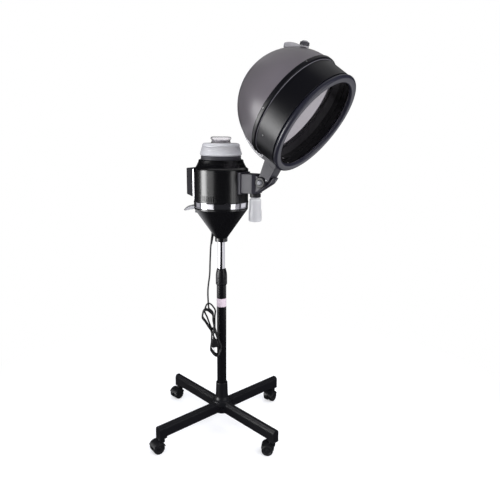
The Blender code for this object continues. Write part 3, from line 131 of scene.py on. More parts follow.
def soften(points: Sequence[Point], size: float, closed: bool = False, segments: int = 3) -> list[Point]:
    """Round the corners of a chain of points.

    Args:
        points: The chain.
        size: How far from a corner its rounding starts.
        closed: Whether the last point joins the first.
        segments: Steps in each curve.

    Returns:
        The chain, curved at each corner of more than ten degrees.
    """
    chain = [Vector(point) for point in points]
    count = len(chain)
    rounded: list[Point] = []
    for index, corner in enumerate(chain):
        if not closed and index in (0, count - 1):
            rounded.append(tuple(corner))
            continue
        back = chain[index - 1] - corner
        ahead = chain[(index + 1) % count] - corner
        if back.length < 1e-7 or ahead.length < 1e-7 or back.angle(-ahead) < radians(10):
            rounded.append(tuple(corner))
            continue
        start = corner + back.normalized() * min(size, back.length * 0.45)
        end = corner + ahead.normalized() * min(size, ahead.length * 0.45)
        for step in range(segments + 1):
            share = step / segments
            near = start.lerp(corner, share)
            far = corner.lerp(end, share)
            rounded.append(tuple(near.lerp(far, share)))
    return rounded


def settled(shape: BMesh, place: Matrix) -> BMesh:
    """Move a shape to its place and return it."""
    bmesh.ops.transform(shape, matrix=place, verts=shape.verts[:])
    return shape


def turned(points: Sequence[Point], steps: int = MEDIUM, place: Matrix = AT_COLUMN,
        soft: float = 0.0) -> BMesh:
    """Spin a profile of (radius, height) points round Z.

    Args:
        points: The profile; it is a loop unless it starts on the axis.
        steps: Steps round the turn.
        place: Where it goes.
        soft: Rounding of the profile's corners.

    Returns:
        The shape.
    """
    closed = points[0][0] > 0.0
    if soft > 0.0:
        points = soften(points, soft, closed)
    shape = bmesh.new()
    verts = [shape.verts.new((radius, 0.0, height)) for radius, height in points]
    edges = [shape.edges.new(pair) for pair in zip(verts, verts[1:])]
    if closed:
        edges.append(shape.edges.new((verts[-1], verts[0])))
    bmesh.ops.spin(shape, geom=verts + edges, cent=(0.0, 0.0, 0.0), axis=(0.0, 0.0, 1.0), angle=2 * pi,
        steps=steps, use_merge=True)
    bmesh.ops.remove_doubles(shape, verts=shape.verts[:], dist=0.000002)
    bmesh.ops.recalc_face_normals(shape, faces=shape.faces[:])
    return settled(shape, place)


def round_edges(shape: BMesh, size: float, segments: int = 3, sharper: float = 28.0) -> None:
    """Bevel every edge of a shape that is sharper than an angle.

    Args:
        shape: The shape.
        size: Width of the bevel.
        segments: Its steps.
        sharper: Least angle, in degrees.
    """
    limit = radians(sharper)
    edges = [edge for edge in shape.edges if len(edge.link_faces) == 2 and edge.calc_face_angle() > limit]
    bmesh.ops.bevel(shape, geom=edges, offset=size, segments=segments, affect="EDGES", profile=0.5,
        material=-1, clamp_overlap=True)


def sheet_of(outline: Sequence[Point], low: float, high: float, bevel: float = 0.0, place: Matrix = AT_COLUMN,
        segments: int = 3) -> BMesh:
    """Extrude an outline in the XZ plane along Y, from low to high.

    Args:
        outline: Corners as (x, z).
        low: Y of the first face.
        high: Y of the last face.
        bevel: Width of the rounding.
        place: Where it goes.
        segments: Steps of the rounding.

    Returns:
        The closed shape.
    """
    shape = bmesh.new()
    face = shape.faces.new([shape.verts.new((across, low, height)) for across, height in outline])
    pulled = bmesh.ops.extrude_face_region(shape, geom=[face])
    moved = [item for item in pulled["geom"] if isinstance(item, BMVert)]
    bmesh.ops.translate(shape, verts=moved, vec=(0.0, high - low, 0.0))
    bmesh.ops.recalc_face_normals(shape, faces=shape.faces[:])
    if bevel > 0.0:
        round_edges(shape, bevel, segments)
    return settled(shape, place)


def block(low: Sequence[float], high: Sequence[float], bevel: float = 0.0, place: Matrix = AT_COLUMN,
        segments: int = 3) -> BMesh:
    """Box between two corners, with rounded edges.

    Args:
        low: Lowest corner.
        high: Highest corner.
        bevel: Width of the rounding.
        place: Where it goes.
        segments: Steps of the rounding.

    Returns:
        The closed shape.
    """
    shape = bmesh.new()
    size = [b - a for a, b in zip(low, high)]
    middle = [(a + b) / 2 for a, b in zip(low, high)]
    bmesh.ops.create_cube(shape, size=1.0, matrix=Matrix.Translation(middle) @ Matrix.Diagonal((*size, 1.0)))
    if bevel > 0.0:
        round_edges(shape, bevel, segments)
    return settled(shape, place)


def rod(radius: float, start: Sequence[float], end: Sequence[float], steps: int = SMALL, bevel: float = 0.0,
        place: Matrix = AT_COLUMN) -> BMesh:
    """Cylinder between two points.

    Args:
        radius: Its radius.
        start: Middle of one end.
        end: Middle of the other end.
        steps: Steps round it.
        bevel: Rounding of its rims.
        place: Where it goes.

    Returns:
        The closed shape.
    """
    shape = bmesh.new()
    first = Vector(start)
    along = Vector(end) - first
    turn = along.to_track_quat("Z", "Y").to_matrix().to_4x4()
    bmesh.ops.create_cone(shape, cap_ends=True, segments=steps, radius1=radius, radius2=radius,
        depth=along.length, matrix=Matrix.Translation(first + along / 2) @ turn)
    if bevel > 0.0:
        round_edges(shape, bevel, 3, 60.0)
    return settled(shape, place)


def joined(*shapes: BMesh) -> BMesh:
    """Gather several shapes into the first of them.

    Args:
        shapes: The shapes.

    Returns:
        The first shape.
    """
    whole, *rest = shapes
    for part in rest:
        carrier = bpy.data.meshes.new("carrier")
        part.to_mesh(carrier)
        part.free()
        whole.from_mesh(carrier)
        bpy.data.meshes.remove(carrier)
    return whole


def placed(name: str, data: ID) -> Object:
    """Return a new object that shows some data, linked to the scene."""
    made = bpy.data.objects.new(name, data)
    bpy.context.scene.collection.objects.link(made)
    return made


def carved(shape: BMesh, *tools: BMesh) -> BMesh:
    """Cut tools away from a shape.

    Args:
        shape: The shape.
        tools: What is cut away.

    Returns:
        What is left.
    """
    made = []
    for part in (shape, *tools):
        mesh = bpy.data.meshes.new("carving")
        part.to_mesh(mesh)
        part.free()
        made.append(placed("carving", mesh))
    for tool in made[1:]:
        cutter = made[0].modifiers.new("cut", "BOOLEAN")
        cutter.operation = "DIFFERENCE"
        cutter.solver = "EXACT"
        cutter.object = tool
    graph = bpy.context.evaluated_depsgraph_get()
    mesh = bpy.data.meshes.new_from_object(made[0].evaluated_get(graph))
    rest = bmesh.new()
    rest.from_mesh(mesh)
    bpy.data.meshes.remove(mesh)
    for holder in made:
        data = holder.data
        bpy.data.objects.remove(holder, do_unlink=True)
        bpy.data.meshes.remove(data)
    return rest


def bearing(radius: float, degrees: float, height: float = 0.0) -> Vector:
    """Return the point at a radius and a bearing round Z."""
    angle = radians(degrees)
    return Vector((radius * cos(angle), radius * sin(angle), height))


def ring_of(low: Sequence[float], high: Sequence[float], bevel: float, place: Matrix,
        count: int) -> list[BMesh]:
    """Blocks set evenly round Z, as the teeth of a grip are.

    Args:
        low: Lowest corner of the first.
        high: Its highest corner.
        bevel: Width of its rounding.
        place: Frame of the ring.
        count: How many.

    Returns:
        The blocks.
    """
    return [block(low, high, bevel, place @ spun(step * 360.0 / count)) for step in range(count)]


def facing(origin: Vector, normal: Vector, spin: float = 0.0) -> Matrix:
    """Frame whose Z leaves a surface.

    Args:
        origin: Point on the surface.
        normal: The normal there.
        spin: Turn about it, in degrees.

    Returns:
        The frame's matrix.
    """
    turn = normal.to_track_quat("Z", "Y").to_matrix().to_4x4()
    return Matrix.Translation(origin) @ turn @ spun(spin)


# ---- shared shader groups
def feed(tree: NodeTree, node: Node, values: dict[str | int, object]) -> None:
    """Give a node's inputs their plain values and their links.

    Args:
        tree: The node's tree.
        node: The node.
        values: For each input, by name or number, its value or the socket that feeds it.
    """
    for name, value in values.items():
        if isinstance(value, NodeSocket):
            tree.links.new(value, node.inputs[name])
        else:
            node.inputs[name].default_value = value


def wired(tree: NodeTree, kind: str, values: dict[str | int, object] | None = None,
        **settings: object) -> bpy_prop_collection:
    """Add a node to a tree, set it and link it.

    Args:
        tree: The tree.
        kind: The node's type, after its family's name.
        values: What its inputs get, as for feed.
        settings: Other properties of the node.

    Returns:
        The node's outputs.
    """
    node = tree.nodes.new(f"ShaderNode{kind}")
    for name, value in settings.items():
        setattr(node, name, value)
    feed(tree, node, values or {})
    return node.outputs


KINDS = {float: "NodeSocketFloat", tuple: "NodeSocketColor", type(None): "NodeSocketVector"}
BLACK = (0.0, 0.0, 0.0, 1.0)


class Shading:
    """Node groups that several finishes place in their own materials."""

    @staticmethod
    def new_group(name: str, inputs: dict[str, object], outputs: dict[str, object]) -> tuple:
        """Start a shader group.

        Args:
            name: The group's name.
            inputs: Each input's default, by name; a vector has none.
            outputs: The same for the outputs.

        Returns:
            The group, the sockets of its inputs and its output node.
        """
        group = bpy.data.node_groups.new(name, "ShaderNodeTree")
        for way, sockets in (("INPUT", inputs), ("OUTPUT", outputs)):
            for label, value in sockets.items():
                made = group.interface.new_socket(name=label, in_out=way, socket_type=KINDS[type(value)])
                if way == "INPUT" and value is not None:
                    made.default_value = value
        return group, group.nodes.new("NodeGroupInput").outputs, group.nodes.new("NodeGroupOutput")

    @staticmethod
    def laid_over(group: NodeTree, given: bpy_prop_collection, leave: Node, masks: Sequence[NodeSocket],
            over: object) -> None:
        """Lay a colour over a group's own, where both masks and the amount let it.

        Args:
            group: The group.
            given: The sockets of its inputs.
            leave: Its output node.
            masks: Two masks, which are multiplied.
            over: The colour, or the socket that gives it.
        """
        product = wired(group, "Math", {0: masks[0], 1: masks[1]}, operation="MULTIPLY")[0]
        scaled = wired(group, "Math", {0: product, 1: given["Amount"]}, operation="MULTIPLY",
            use_clamp=True)[0]
        mix = wired(group, "Mix", {"Factor": scaled, "A": given["Colour"], "B": over}, data_type="RGBA")
        feed(group, leave, {"Colour": mix["Result"], "Mask": scaled})

    @classmethod
    @cache
    def grain(cls) -> NodeTree:
        """Return the moulded grain: a fine height and a roughness that drifts over the piece."""
        group, given, leave = cls.new_group("moulded_grain", {"Vector": None, "Scale": 900.0,
            "Roughness": 0.4, "Spread": 0.1}, {"Height": 0.0, "Roughness": 0.0, "Drift": 0.0})
        fine = wired(group, "TexNoise", {"Vector": given["Vector"], "Scale": given["Scale"], "Detail": 3.0})
        wide = wired(group, "TexNoise", {"Vector": given["Vector"], "Scale": 14.0, "Detail": 5.0,
            "Roughness": 0.62})
        centred = wired(group, "Math", {0: wide["Fac"], 1: 0.5}, operation="SUBTRACT")
        spread = wired(group, "Math", {0: centred[0], 1: given["Spread"]}, operation="MULTIPLY")
        total = wired(group, "Math", {0: spread[0], 1: given["Roughness"]}, use_clamp=True)
        feed(group, leave, {"Height": fine["Fac"], "Roughness": total[0], "Drift": wide["Fac"]})
        return group

    @classmethod
    @cache
    def wear(cls) -> NodeTree:
        """Return the edge wear: rubbed, paler colour along sharp outer edges."""
        group, given, leave = cls.new_group("edge_wear", {"Colour": BLACK, "Rubbed": (0.2, 0.2, 0.2, 1.0),
            "Amount": 0.5, "Vector": None}, {"Colour": BLACK, "Mask": 0.0})
        plain = wired(group, "NewGeometry")["Normal"]
        rounded = wired(group, "Bevel", {"Radius": 0.0012}, samples=4)["Normal"]
        turn = wired(group, "VectorMath", {0: plain, 1: rounded}, operation="DOT_PRODUCT")["Value"]
        edge = wired(group, "MapRange", {"Value": turn, "From Min": 0.975, "From Max": 0.86})["Result"]
        patch = wired(group, "TexNoise", {"Vector": given["Vector"], "Scale": 60.0, "Detail": 6.0})["Fac"]
        cls.laid_over(group, given, leave, (edge, patch), given["Rubbed"])
        return group

    @classmethod
    @cache
    def dust(cls) -> NodeTree:
        """Return the dust: a thin pale film on what faces up, in drifts."""
        group, given, leave = cls.new_group("dust_film", {"Colour": BLACK, "Amount": 0.1, "Vector": None},
            {"Colour": BLACK, "Mask": 0.0})
        split = wired(group, "SeparateXYZ", {"Vector": wired(group, "NewGeometry")["Normal"]})["Z"]
        upward = wired(group, "MapRange", {"Value": split, "From Min": 0.35, "From Max": 1.0})["Result"]
        drift = wired(group, "TexNoise", {"Vector": given["Vector"], "Scale": 24.0, "Detail": 7.0,
            "Roughness": 0.7})["Fac"]
        cls.laid_over(group, given, leave, (upward, drift), (0.42, 0.4, 0.38, 1.0))
        return group


# ---- finishes
@dataclass(frozen=True)
class Finish:
    """A surface as its maker would order it.

    Attributes:
        name: Name of the material.
        slot: Slot of the record that it belongs to; nothing in this script reads it.
        colour: Base colour.
        roughness: Mean roughness.
        spread: How far the roughness drifts over a piece.
        metallic: 1 for bare or plated metal.
        grain: Height of the fine grain, as the distance of its bump.
        grain_scale: Grains to the metre, roughly.
        rubbed: Colour that wear brings out on the edges.
        wear: How much of that colour shows.
        dust: How thick the film of dust is.
        coat: Weight of a clear coat.
        transmission: Share of the light that goes through.
        ior: Index of refraction.
        scatter: Weight of the light that scatters under the surface.
        specular: Level of the plain reflection.
    """

    name: str
    slot: str
    colour: Colour
    roughness: float
    spread: float = 0.08
    metallic: float = 0.0
    grain: float = 0.0
    grain_scale: float = 900.0
    rubbed: Colour = (0.16, 0.16, 0.17)
    wear: float = 0.0
    dust: float = 0.0
    coat: float = 0.0
    transmission: float = 0.0
    ior: float = 1.49
    scatter: float = 0.0
    specular: float = 0.5

    def material(self) -> Material:
        """Return the material, made on its first use."""
        label = f"{self.name}_finish"
        known = bpy.data.materials.get(label)
        if known:
            return known
        made = bpy.data.materials.new(label)
        made.use_nodes = True
        tree = made.node_tree
        shader = tree.nodes["Principled BSDF"]
        feed(tree, shader, {"Metallic": self.metallic, "Coat Weight": self.coat, "Coat Roughness": 0.06,
            "Transmission Weight": self.transmission, "IOR": self.ior, "Subsurface Weight": self.scatter,
            "Subsurface Scale": 0.02, "Subsurface Radius": (1.0, 1.0, 1.0),
            "Specular IOR Level": self.specular})
        where = wired(tree, "TexCoord")["Object"]
        self.surface(tree, shader, self.tinted(tree, where), where)
        return made

    def tones(self, tree: NodeTree, pattern: NodeSocket, low: float, high: float) -> NodeSocket:
        """Mix a darker and a lighter tone of the base colour.

        Args:
            tree: The material's nodes.
            pattern: What mixes them.
            low: Level of the darker tone.
            high: Level of the lighter tone.

        Returns:
            The colour's socket.
        """
        dark, light = ((*[min(1.0, channel * level) for channel in self.colour], 1.0)
            for level in (low, high))
        return wired(tree, "Mix", {"Factor": pattern, "A": dark, "B": light}, data_type="RGBA")["Result"]

    def tinted(self, tree: NodeTree, where: NodeSocket) -> NodeSocket:
        """Colour before wear and dust: the base colour with a slight drift.

        Args:
            tree: The material's nodes.
            where: Object coordinates.

        Returns:
            The colour's socket.
        """
        cloud = wired(tree, "TexNoise", {"Vector": where, "Scale": 9.0, "Detail": 4.0})["Fac"]
        return self.tones(tree, cloud, 0.88, 1.10)

    def surface(self, tree: NodeTree, shader: Node, colour: NodeSocket, where: NodeSocket) -> None:
        """Lay grain, wear and dust over the colour and wire them to the shader.

        Args:
            tree: The material's nodes.
            shader: Its Principled shader.
            colour: The colour before wear.
            where: Coordinates of the pattern.
        """
        if self.wear > 0.0:
            colour = wired(tree, "Group", {"Colour": colour, "Rubbed": (*self.rubbed, 1.0),
                "Amount": self.wear, "Vector": where}, node_tree=Shading.wear())["Colour"]
        if self.dust > 0.0:
            colour = wired(tree, "Group", {"Colour": colour, "Amount": self.dust, "Vector": where},
                node_tree=Shading.dust())["Colour"]
        grain = wired(tree, "Group", {"Vector": where, "Scale": self.grain_scale, "Roughness": self.roughness,
            "Spread": self.spread}, node_tree=Shading.grain())
        feed(tree, shader, {"Base Color": colour, "Roughness": grain["Roughness"]})
        if self.grain > 0.0:
            bump = wired(tree, "Bump", {"Strength": 0.6, "Distance": self.grain, "Height": grain["Height"]})
            feed(tree, shader, {"Normal": bump["Normal"]})


@dataclass(frozen=True)
class BrushedFinish(Finish):
    """Metal with fine turning or brushing lines, drawn out along one direction."""

    lines: Colour = (30.0, 30.0, 4200.0)

    def tinted(self, tree: NodeTree, where: NodeSocket) -> NodeSocket:
        """Colour that varies from one line to the next.

        Args:
            tree: The material's nodes.
            where: Object coordinates.

        Returns:
            The colour's socket.
        """
        stretch = wired(tree, "Mapping", {"Vector": where, "Scale": self.lines})["Vector"]
        streaks = wired(tree, "TexNoise", {"Vector": stretch, "Scale": 1.0, "Detail": 2.0})["Fac"]
        return self.tones(tree, streaks, 0.8, 1.12)


BASE_PLASTIC = Finish("base_plastic", "base_plastic", (0.0065, 0.0064, 0.0085), 0.36, 0.1, grain=0.0001,
    grain_scale=1400.0, wear=0.3, dust=0.012)
COLUMN_PAINT = Finish("column_paint", "column_paint", (0.004, 0.0038, 0.0052), 0.24, 0.05, wear=0.1,
    grain=0.00002, grain_scale=400.0)
LABEL_FILM = Finish("label_film", "column_paint", (0.66, 0.55, 0.61), 0.34, 0.06, grain=0.00002)
SHELL_BLACK = Finish("shell_black", "shell_black", (0.003, 0.0029, 0.0038), 0.24, 0.04, grain=0.00002,
    grain_scale=260.0, wear=0.1, dust=0.004, specular=0.9)
SATIN_BLACK = Finish("satin_black", "satin_black", (0.0045, 0.0043, 0.0062), 0.34, 0.06, grain=0.00004,
    grain_scale=1500.0, wear=0.2, dust=0.006)
CAST_BLACK = Finish("cast_black", "satin_black", (0.026, 0.0245, 0.034), 0.42, 0.12, grain=0.00018,
    grain_scale=900.0, wear=0.35, dust=0.012)
# Darker, duller copy of the lip's black for the sleeve inside the hood: painted shade.
SLEEVE_BLACK_PAINTED_SHADE = Finish("sleeve_black_painted_shade", "satin_black", (0.0035, 0.0034, 0.0042), 0.42, 0.03, specular=0.18)
# The lip's black is lifted and tinted blue: painted sheen for the sky that the rolled lip reflects.
LIP_BLACK_PAINTED_SHEEN = Finish("lip_black_painted_sheen", "satin_black", (0.016, 0.016, 0.027), 0.33, 0.07, grain=0.00004,
    grain_scale=1500.0, wear=0.08, specular=0.9)
WHEEL_RUBBER = Finish("wheel_rubber", "wheel_rubber", (0.0105, 0.0103, 0.012), 0.46, 0.14, grain=0.00015,
    grain_scale=1100.0, wear=0.3, dust=0.025)
CORD_RUBBER = Finish("cord_rubber", "cord_rubber", (0.009, 0.0088, 0.01), 0.38, 0.1, grain=0.00008,
    grain_scale=1600.0)
CHROME = Finish("chrome", "chrome", (0.74, 0.73, 0.77), 0.09, 0.03, metallic=1.0)
ZINC = Finish("zinc_plating", "chrome", (0.19, 0.19, 0.205), 0.46, 0.1, metallic=0.35, grain=0.00003)
STEEL = BrushedFinish("steel", "steel", (0.56, 0.56, 0.57), 0.28, 0.1, metallic=1.0)
PLATE_METAL = BrushedFinish("plate_metal", "plate_metal", (0.66, 0.65, 0.68), 0.3, 0.08, metallic=1.0,
    lines=(900.0, 18.0, 18.0))
GREY_PLASTIC = Finish("grey_plastic", "grey_plastic", (0.014, 0.0135, 0.018), 0.62, 0.1, grain=0.00022,
    grain_scale=1300.0, wear=0.2, dust=0.01, rubbed=(0.2, 0.2, 0.22), specular=0.15)
# Pale grey for the bead where the drum meets the ring: it paints the highlight line that those edges catch.
PAINTED_HIGHLIGHT_GREY = Finish("painted_highlight_grey", "gasket_rubber", (0.2, 0.19, 0.215), 0.4, 0.06)
KNOB_PLASTIC = Finish("knob_plastic", "grey_plastic", (0.05, 0.048, 0.054), 0.16, 0.05, coat=0.4, wear=0.15)
GASKET_RUBBER = Finish("gasket_rubber", "gasket_rubber", (0.042, 0.041, 0.048), 0.5, 0.1, grain=0.0001)
MILKY = Finish("milky_plastic", "milky_plastic", (0.92, 0.9, 0.95), 0.26, 0.06, transmission=0.12,
    scatter=0.85, grain=0.00003, grain_scale=300.0)
SCOOP_PLASTIC = Finish("scoop_plastic", "milky_plastic", (0.33, 0.32, 0.33), 0.24, 0.08, transmission=0.15,
    grain=0.00003)
CLEAR = Finish("clear_plastic", "clear_plastic", (0.8, 0.78, 0.81), 0.05, 0.02, transmission=1.0)
DUCT_CLEAR = Finish("duct_plastic", "clear_plastic", (0.62, 0.61, 0.64), 0.2, 0.03, transmission=0.8)
SMOKED = Finish("smoke_clear", "smoke_clear", (0.44, 0.418, 0.45), 0.33, 0.005, transmission=1.0)
RED_LENS = Finish("red_lens", "red_lens", (0.55, 0.02, 0.02), 0.12, 0.03, transmission=0.5)
PRINT_WHITE = Finish("print_white", "plate_metal", (0.72, 0.72, 0.72), 0.5, 0.04)


def add(shape: BMesh, name: str, body: str, finish: Finish, replaces: Iterable[str] = (),
        sharp: float = CREASE) -> Object:
    """Turn a shape into a finished piece that rides on a body.

    Args:
        shape: The shape, in place.
        name: Name of the piece.
        body: Body that carries it.
        finish: Its finish.
        replaces: Nodes that it stands for.
        sharp: Angle over which an edge is crisp.

    Returns:
        The new object.
    """
    mesh = bpy.data.meshes.new(name)
    shape.to_mesh(mesh)
    shape.free()
    mesh.materials.append(finish.material())
    mesh.shade_smooth()
    mesh.set_sharp_from_angle(angle=radians(sharp))
    piece = placed(name, mesh)
    flat = piece.modifiers.new("flat_faces", "WEIGHTED_NORMAL")
    flat.keep_sharp = True
    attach(piece, body)
    nodes = list(replaces)
    if nodes:
        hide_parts(*nodes)
    LOG.info("%s on %s: %d faces", name, body, len(mesh.polygons))
    return piece


def dress_node(name: str, finish: Finish) -> None:
    """Give a node of the frame that stays its own finish.

    Args:
        name: The node.
        finish: Its finish.
    """
    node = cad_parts[name]
    for index in range(len(node.material_slots)):
        node.material_slots[index].material = finish.material()
    weld = node.modifiers.new("weld", "WELD")
    weld.merge_threshold = 0.00001
    for face in node.data.polygons:
        face.use_smooth = True
    crease = node.modifiers.new("crease", "EDGE_SPLIT")
    crease.split_angle = radians(CREASE)
    LOG.info("%s keeps its shape in %s", name, finish.name)


@dataclass
class ScrewHead:
    """Domed screw head with a recess, built once and placed many times."""

    radius: float = 0.0036
    height: float = 0.0016
    drive: Drive = Drive.CROSS

    def shape(self, place: Matrix) -> BMesh:
        """Build the head on a surface.

        Args:
            place: Frame on the surface.

        Returns:
            The head's shape.
        """
        dome = [(0.0, self.height), (self.radius * 0.45, self.height * 0.94),
            (self.radius * 0.8, self.height * 0.66), (self.radius, 0.0), (self.radius, -0.0006),
            (0.0, -0.0006)]
        head = turned(dome, 24, HERE, self.radius * 0.12)
        reach = self.radius * 0.58
        if self.drive is Drive.CROSS:
            half = self.radius * 0.13
            tools = [block((-reach, -half, self.height * 0.45), (reach, half, self.height * 2), 0.0, HERE),
                block((-half, -reach, self.height * 0.45), (half, reach, self.height * 2), 0.0, HERE)]
        else:
            tools = [rod(reach * 0.8, (0.0, 0.0, self.height * 0.3), (0.0, 0.0, self.height * 2), 6, 0.0,
                HERE)]
        head = carved(head, *tools)
        return settled(head, place)


# ---- stand
@dataclass
class StarBase:
    """One-piece moulded base with four legs, and the column that stands in its hub."""

    leg_angles: tuple[float, ...] = (-14.2, 75.8, 165.8, 255.8)
    reach: float = 0.298
    leg_top: float = 0.0985
    depth: float = 0.042
    width: float = 0.027
    ridge: float = 0.013
    chamfer: float = 0.007
    wall: float = 0.0035
    foot_length: float = 0.03
    foot_bottom: float = 0.05
    hub_top: float = 0.1755
    hub_bottom: float = 0.049
    flare: float = 0.022
    column_radius: float = 0.018
    column_bore: float = 0.0165
    column_foot: float = 0.0715
    column_top: float = 0.5915
    label_bottom: float = 0.4862
    label_top: float = 0.5182
    hub_radius: float = 0.024
    channel_depth: float = 0.012
    stem_socket: float = 0.0058
    stem_recess: float = 0.0101
    ribs_at: tuple[float, ...] = (0.085, 0.135, 0.185, 0.235)

    def leg(self, number: int) -> BMesh:
        """Build one leg with its foot, channel and cross ribs.

        Args:
            number: Which leg, from 0.

        Returns:
            The leg's shape, in place.
        """
        half = self.width / 2
        flat = self.ridge / 2
        edge = self.leg_top - self.chamfer
        bottom = self.leg_top - self.depth
        turn = spun(self.leg_angles[number])
        lying = spun(-90.0)
        right = [(half, bottom), (half, edge - 0.003), (half - 0.0014, edge - 0.0026),
            (half - 0.0014, edge - 0.0008), (half - 0.0003, edge), (half - 0.0022, edge + 0.002),
            (flat + 0.0008, self.leg_top - 0.0012), (flat, self.leg_top)]
        section = right + [(-across, height) for across, height in reversed(right)]
        leg = sheet_of(section, 0.021, self.reach, 0.0, lying)
        foot_start = self.reach - self.foot_length
        bmesh.ops.bisect_plane(leg, geom=leg.verts[:] + leg.edges[:] + leg.faces[:],
            plane_co=(foot_start, 0.0, 0.0), plane_no=(1.0, 0.0, 0.0))
        soles = [face for face in leg.faces
            if face.normal.z < -0.9 and face.calc_center_median().x > foot_start]
        pulled = bmesh.ops.extrude_discrete_faces(leg, faces=soles)
        for face in pulled["faces"]:
            for vert in face.verts:
                vert.co.z = self.foot_bottom
        round_edges(leg, 0.0016, 3, 40.0)
        inside = half - self.wall
        top = self.leg_top - self.channel_depth
        stem = self.reach - self.foot_length / 2
        channel = block((0.045, -inside, 0.0), (foot_start, inside, top), 0.0, HERE)
        socket = rod(self.stem_socket, (stem, 0.0, 0.03), (stem, 0.0, 0.0863), 24, 0.0, HERE)
        recess = rod(self.stem_recess, (stem, 0.0, 0.03), (stem, 0.0, 0.054), SMALL, 0.0, HERE)
        leg = carved(leg, channel, socket, recess)
        ribs = [block((along - 0.0012, -inside - 0.0005, bottom + 0.004), (along + 0.0012, inside + 0.0005,
            top + 0.0005), 0.0004, HERE) for along in self.ribs_at]
        leg = joined(leg, *ribs)
        return settled(leg, AT_COLUMN @ turn)

    def build(self) -> None:
        """Build the base, the column and its bare label band."""
        foot = self.column_foot
        wall = self.hub_radius
        skirt = self.leg_top - self.channel_depth
        bore = self.column_radius + GAP
        outer = ([(0.0205, self.hub_top), (0.0222, self.hub_top - 0.0022), (wall, self.leg_top + self.flare)]
            + arc((wall + self.flare, self.leg_top + self.flare), self.flare, 180, 245, 10)
            + [(0.039, skirt), (0.033, skirt - 0.006), (wall, self.hub_bottom)])
        inner = [(0.0125, self.hub_bottom), (0.0125, 0.059), (0.0056, 0.059), (0.0056, foot - GAP),
            (bore, foot - GAP), (bore, self.hub_top)]
        hub = turned(outer + inner, soft=0.0012)
        legs = [self.leg(number) for number in range(len(self.leg_angles))]
        add(joined(hub, *legs), "base_moulding", "stand", BASE_PLASTIC, ["star_base"])
        tube = [(self.column_bore, self.column_top), (self.column_radius, self.column_top),
            (self.column_radius, foot), (self.column_bore, foot)]
        add(turned(tube, soft=0.0006), "painted_column", "stand", COLUMN_PAINT, ["column_tube"])
        film = self.column_radius + 0.00012
        band = [(film - 0.0001, self.label_top), (film, self.label_top), (film, self.label_bottom),
            (film - 0.0001, self.label_bottom)]
        add(turned(band), "column_label", "stand", LABEL_FILM)
        for name in ("hub_bolt", "caster_stem_1", "caster_stem_2", "caster_stem_3", "caster_stem_4"):
            dress_node(name, STEEL)
        dress_node("collet", GREY_PLASTIC)


@dataclass
class Mast:
    """Chrome sliding tube and the locking collar on the column."""

    radius: float = 0.013
    bore: float = 0.0118
    foot: float = 0.2715
    top: float = 0.7735
    collar_bottom: float = 0.57
    collar_top: float = 0.6325
    collar_radius: float = 0.0213
    column_radius: float = 0.018

    def build(self) -> None:
        """Build the chrome tube and the collar."""
        low = self.collar_bottom
        rim = self.collar_radius
        tube = [(self.bore, self.top), (self.radius, self.top), (self.radius, self.foot),
            (self.bore, self.foot)]
        add(turned(tube, soft=0.0004), "chrome_mast", "mast", CHROME, ["inner_tube"])
        inner = self.column_radius + GAP
        snug = self.radius + GAP
        top = self.collar_top
        outline = ([(snug, top), (0.0156, top), (0.0168, top - 0.002), (0.0182, top - 0.008),
            (0.0198, top - 0.015), (0.0208, top - 0.022), (rim, top - 0.029)] + self.groove(top - 0.034)
            + self.groove(low + 0.01) + [(rim, low + 0.004), (rim - 0.0018, low + 0.0006),
            (rim - 0.0026, low), (inner, low), (inner, top - 0.0105), (snug, top - 0.0085)])
        add(turned(outline, soft=0.0008), "grip_collar", "collar", SATIN_BLACK, ["locking_collar"])
        dress_node("guide_bush", GREY_PLASTIC)

    def groove(self, height: float) -> list[Point]:
        """Return a shallow groove round the collar at a height."""
        rim = self.collar_radius
        return [(rim, height + 0.0007), (rim - 0.0006, height + 0.0002), (rim - 0.0006, height - 0.0002),
            (rim, height - 0.0007)]


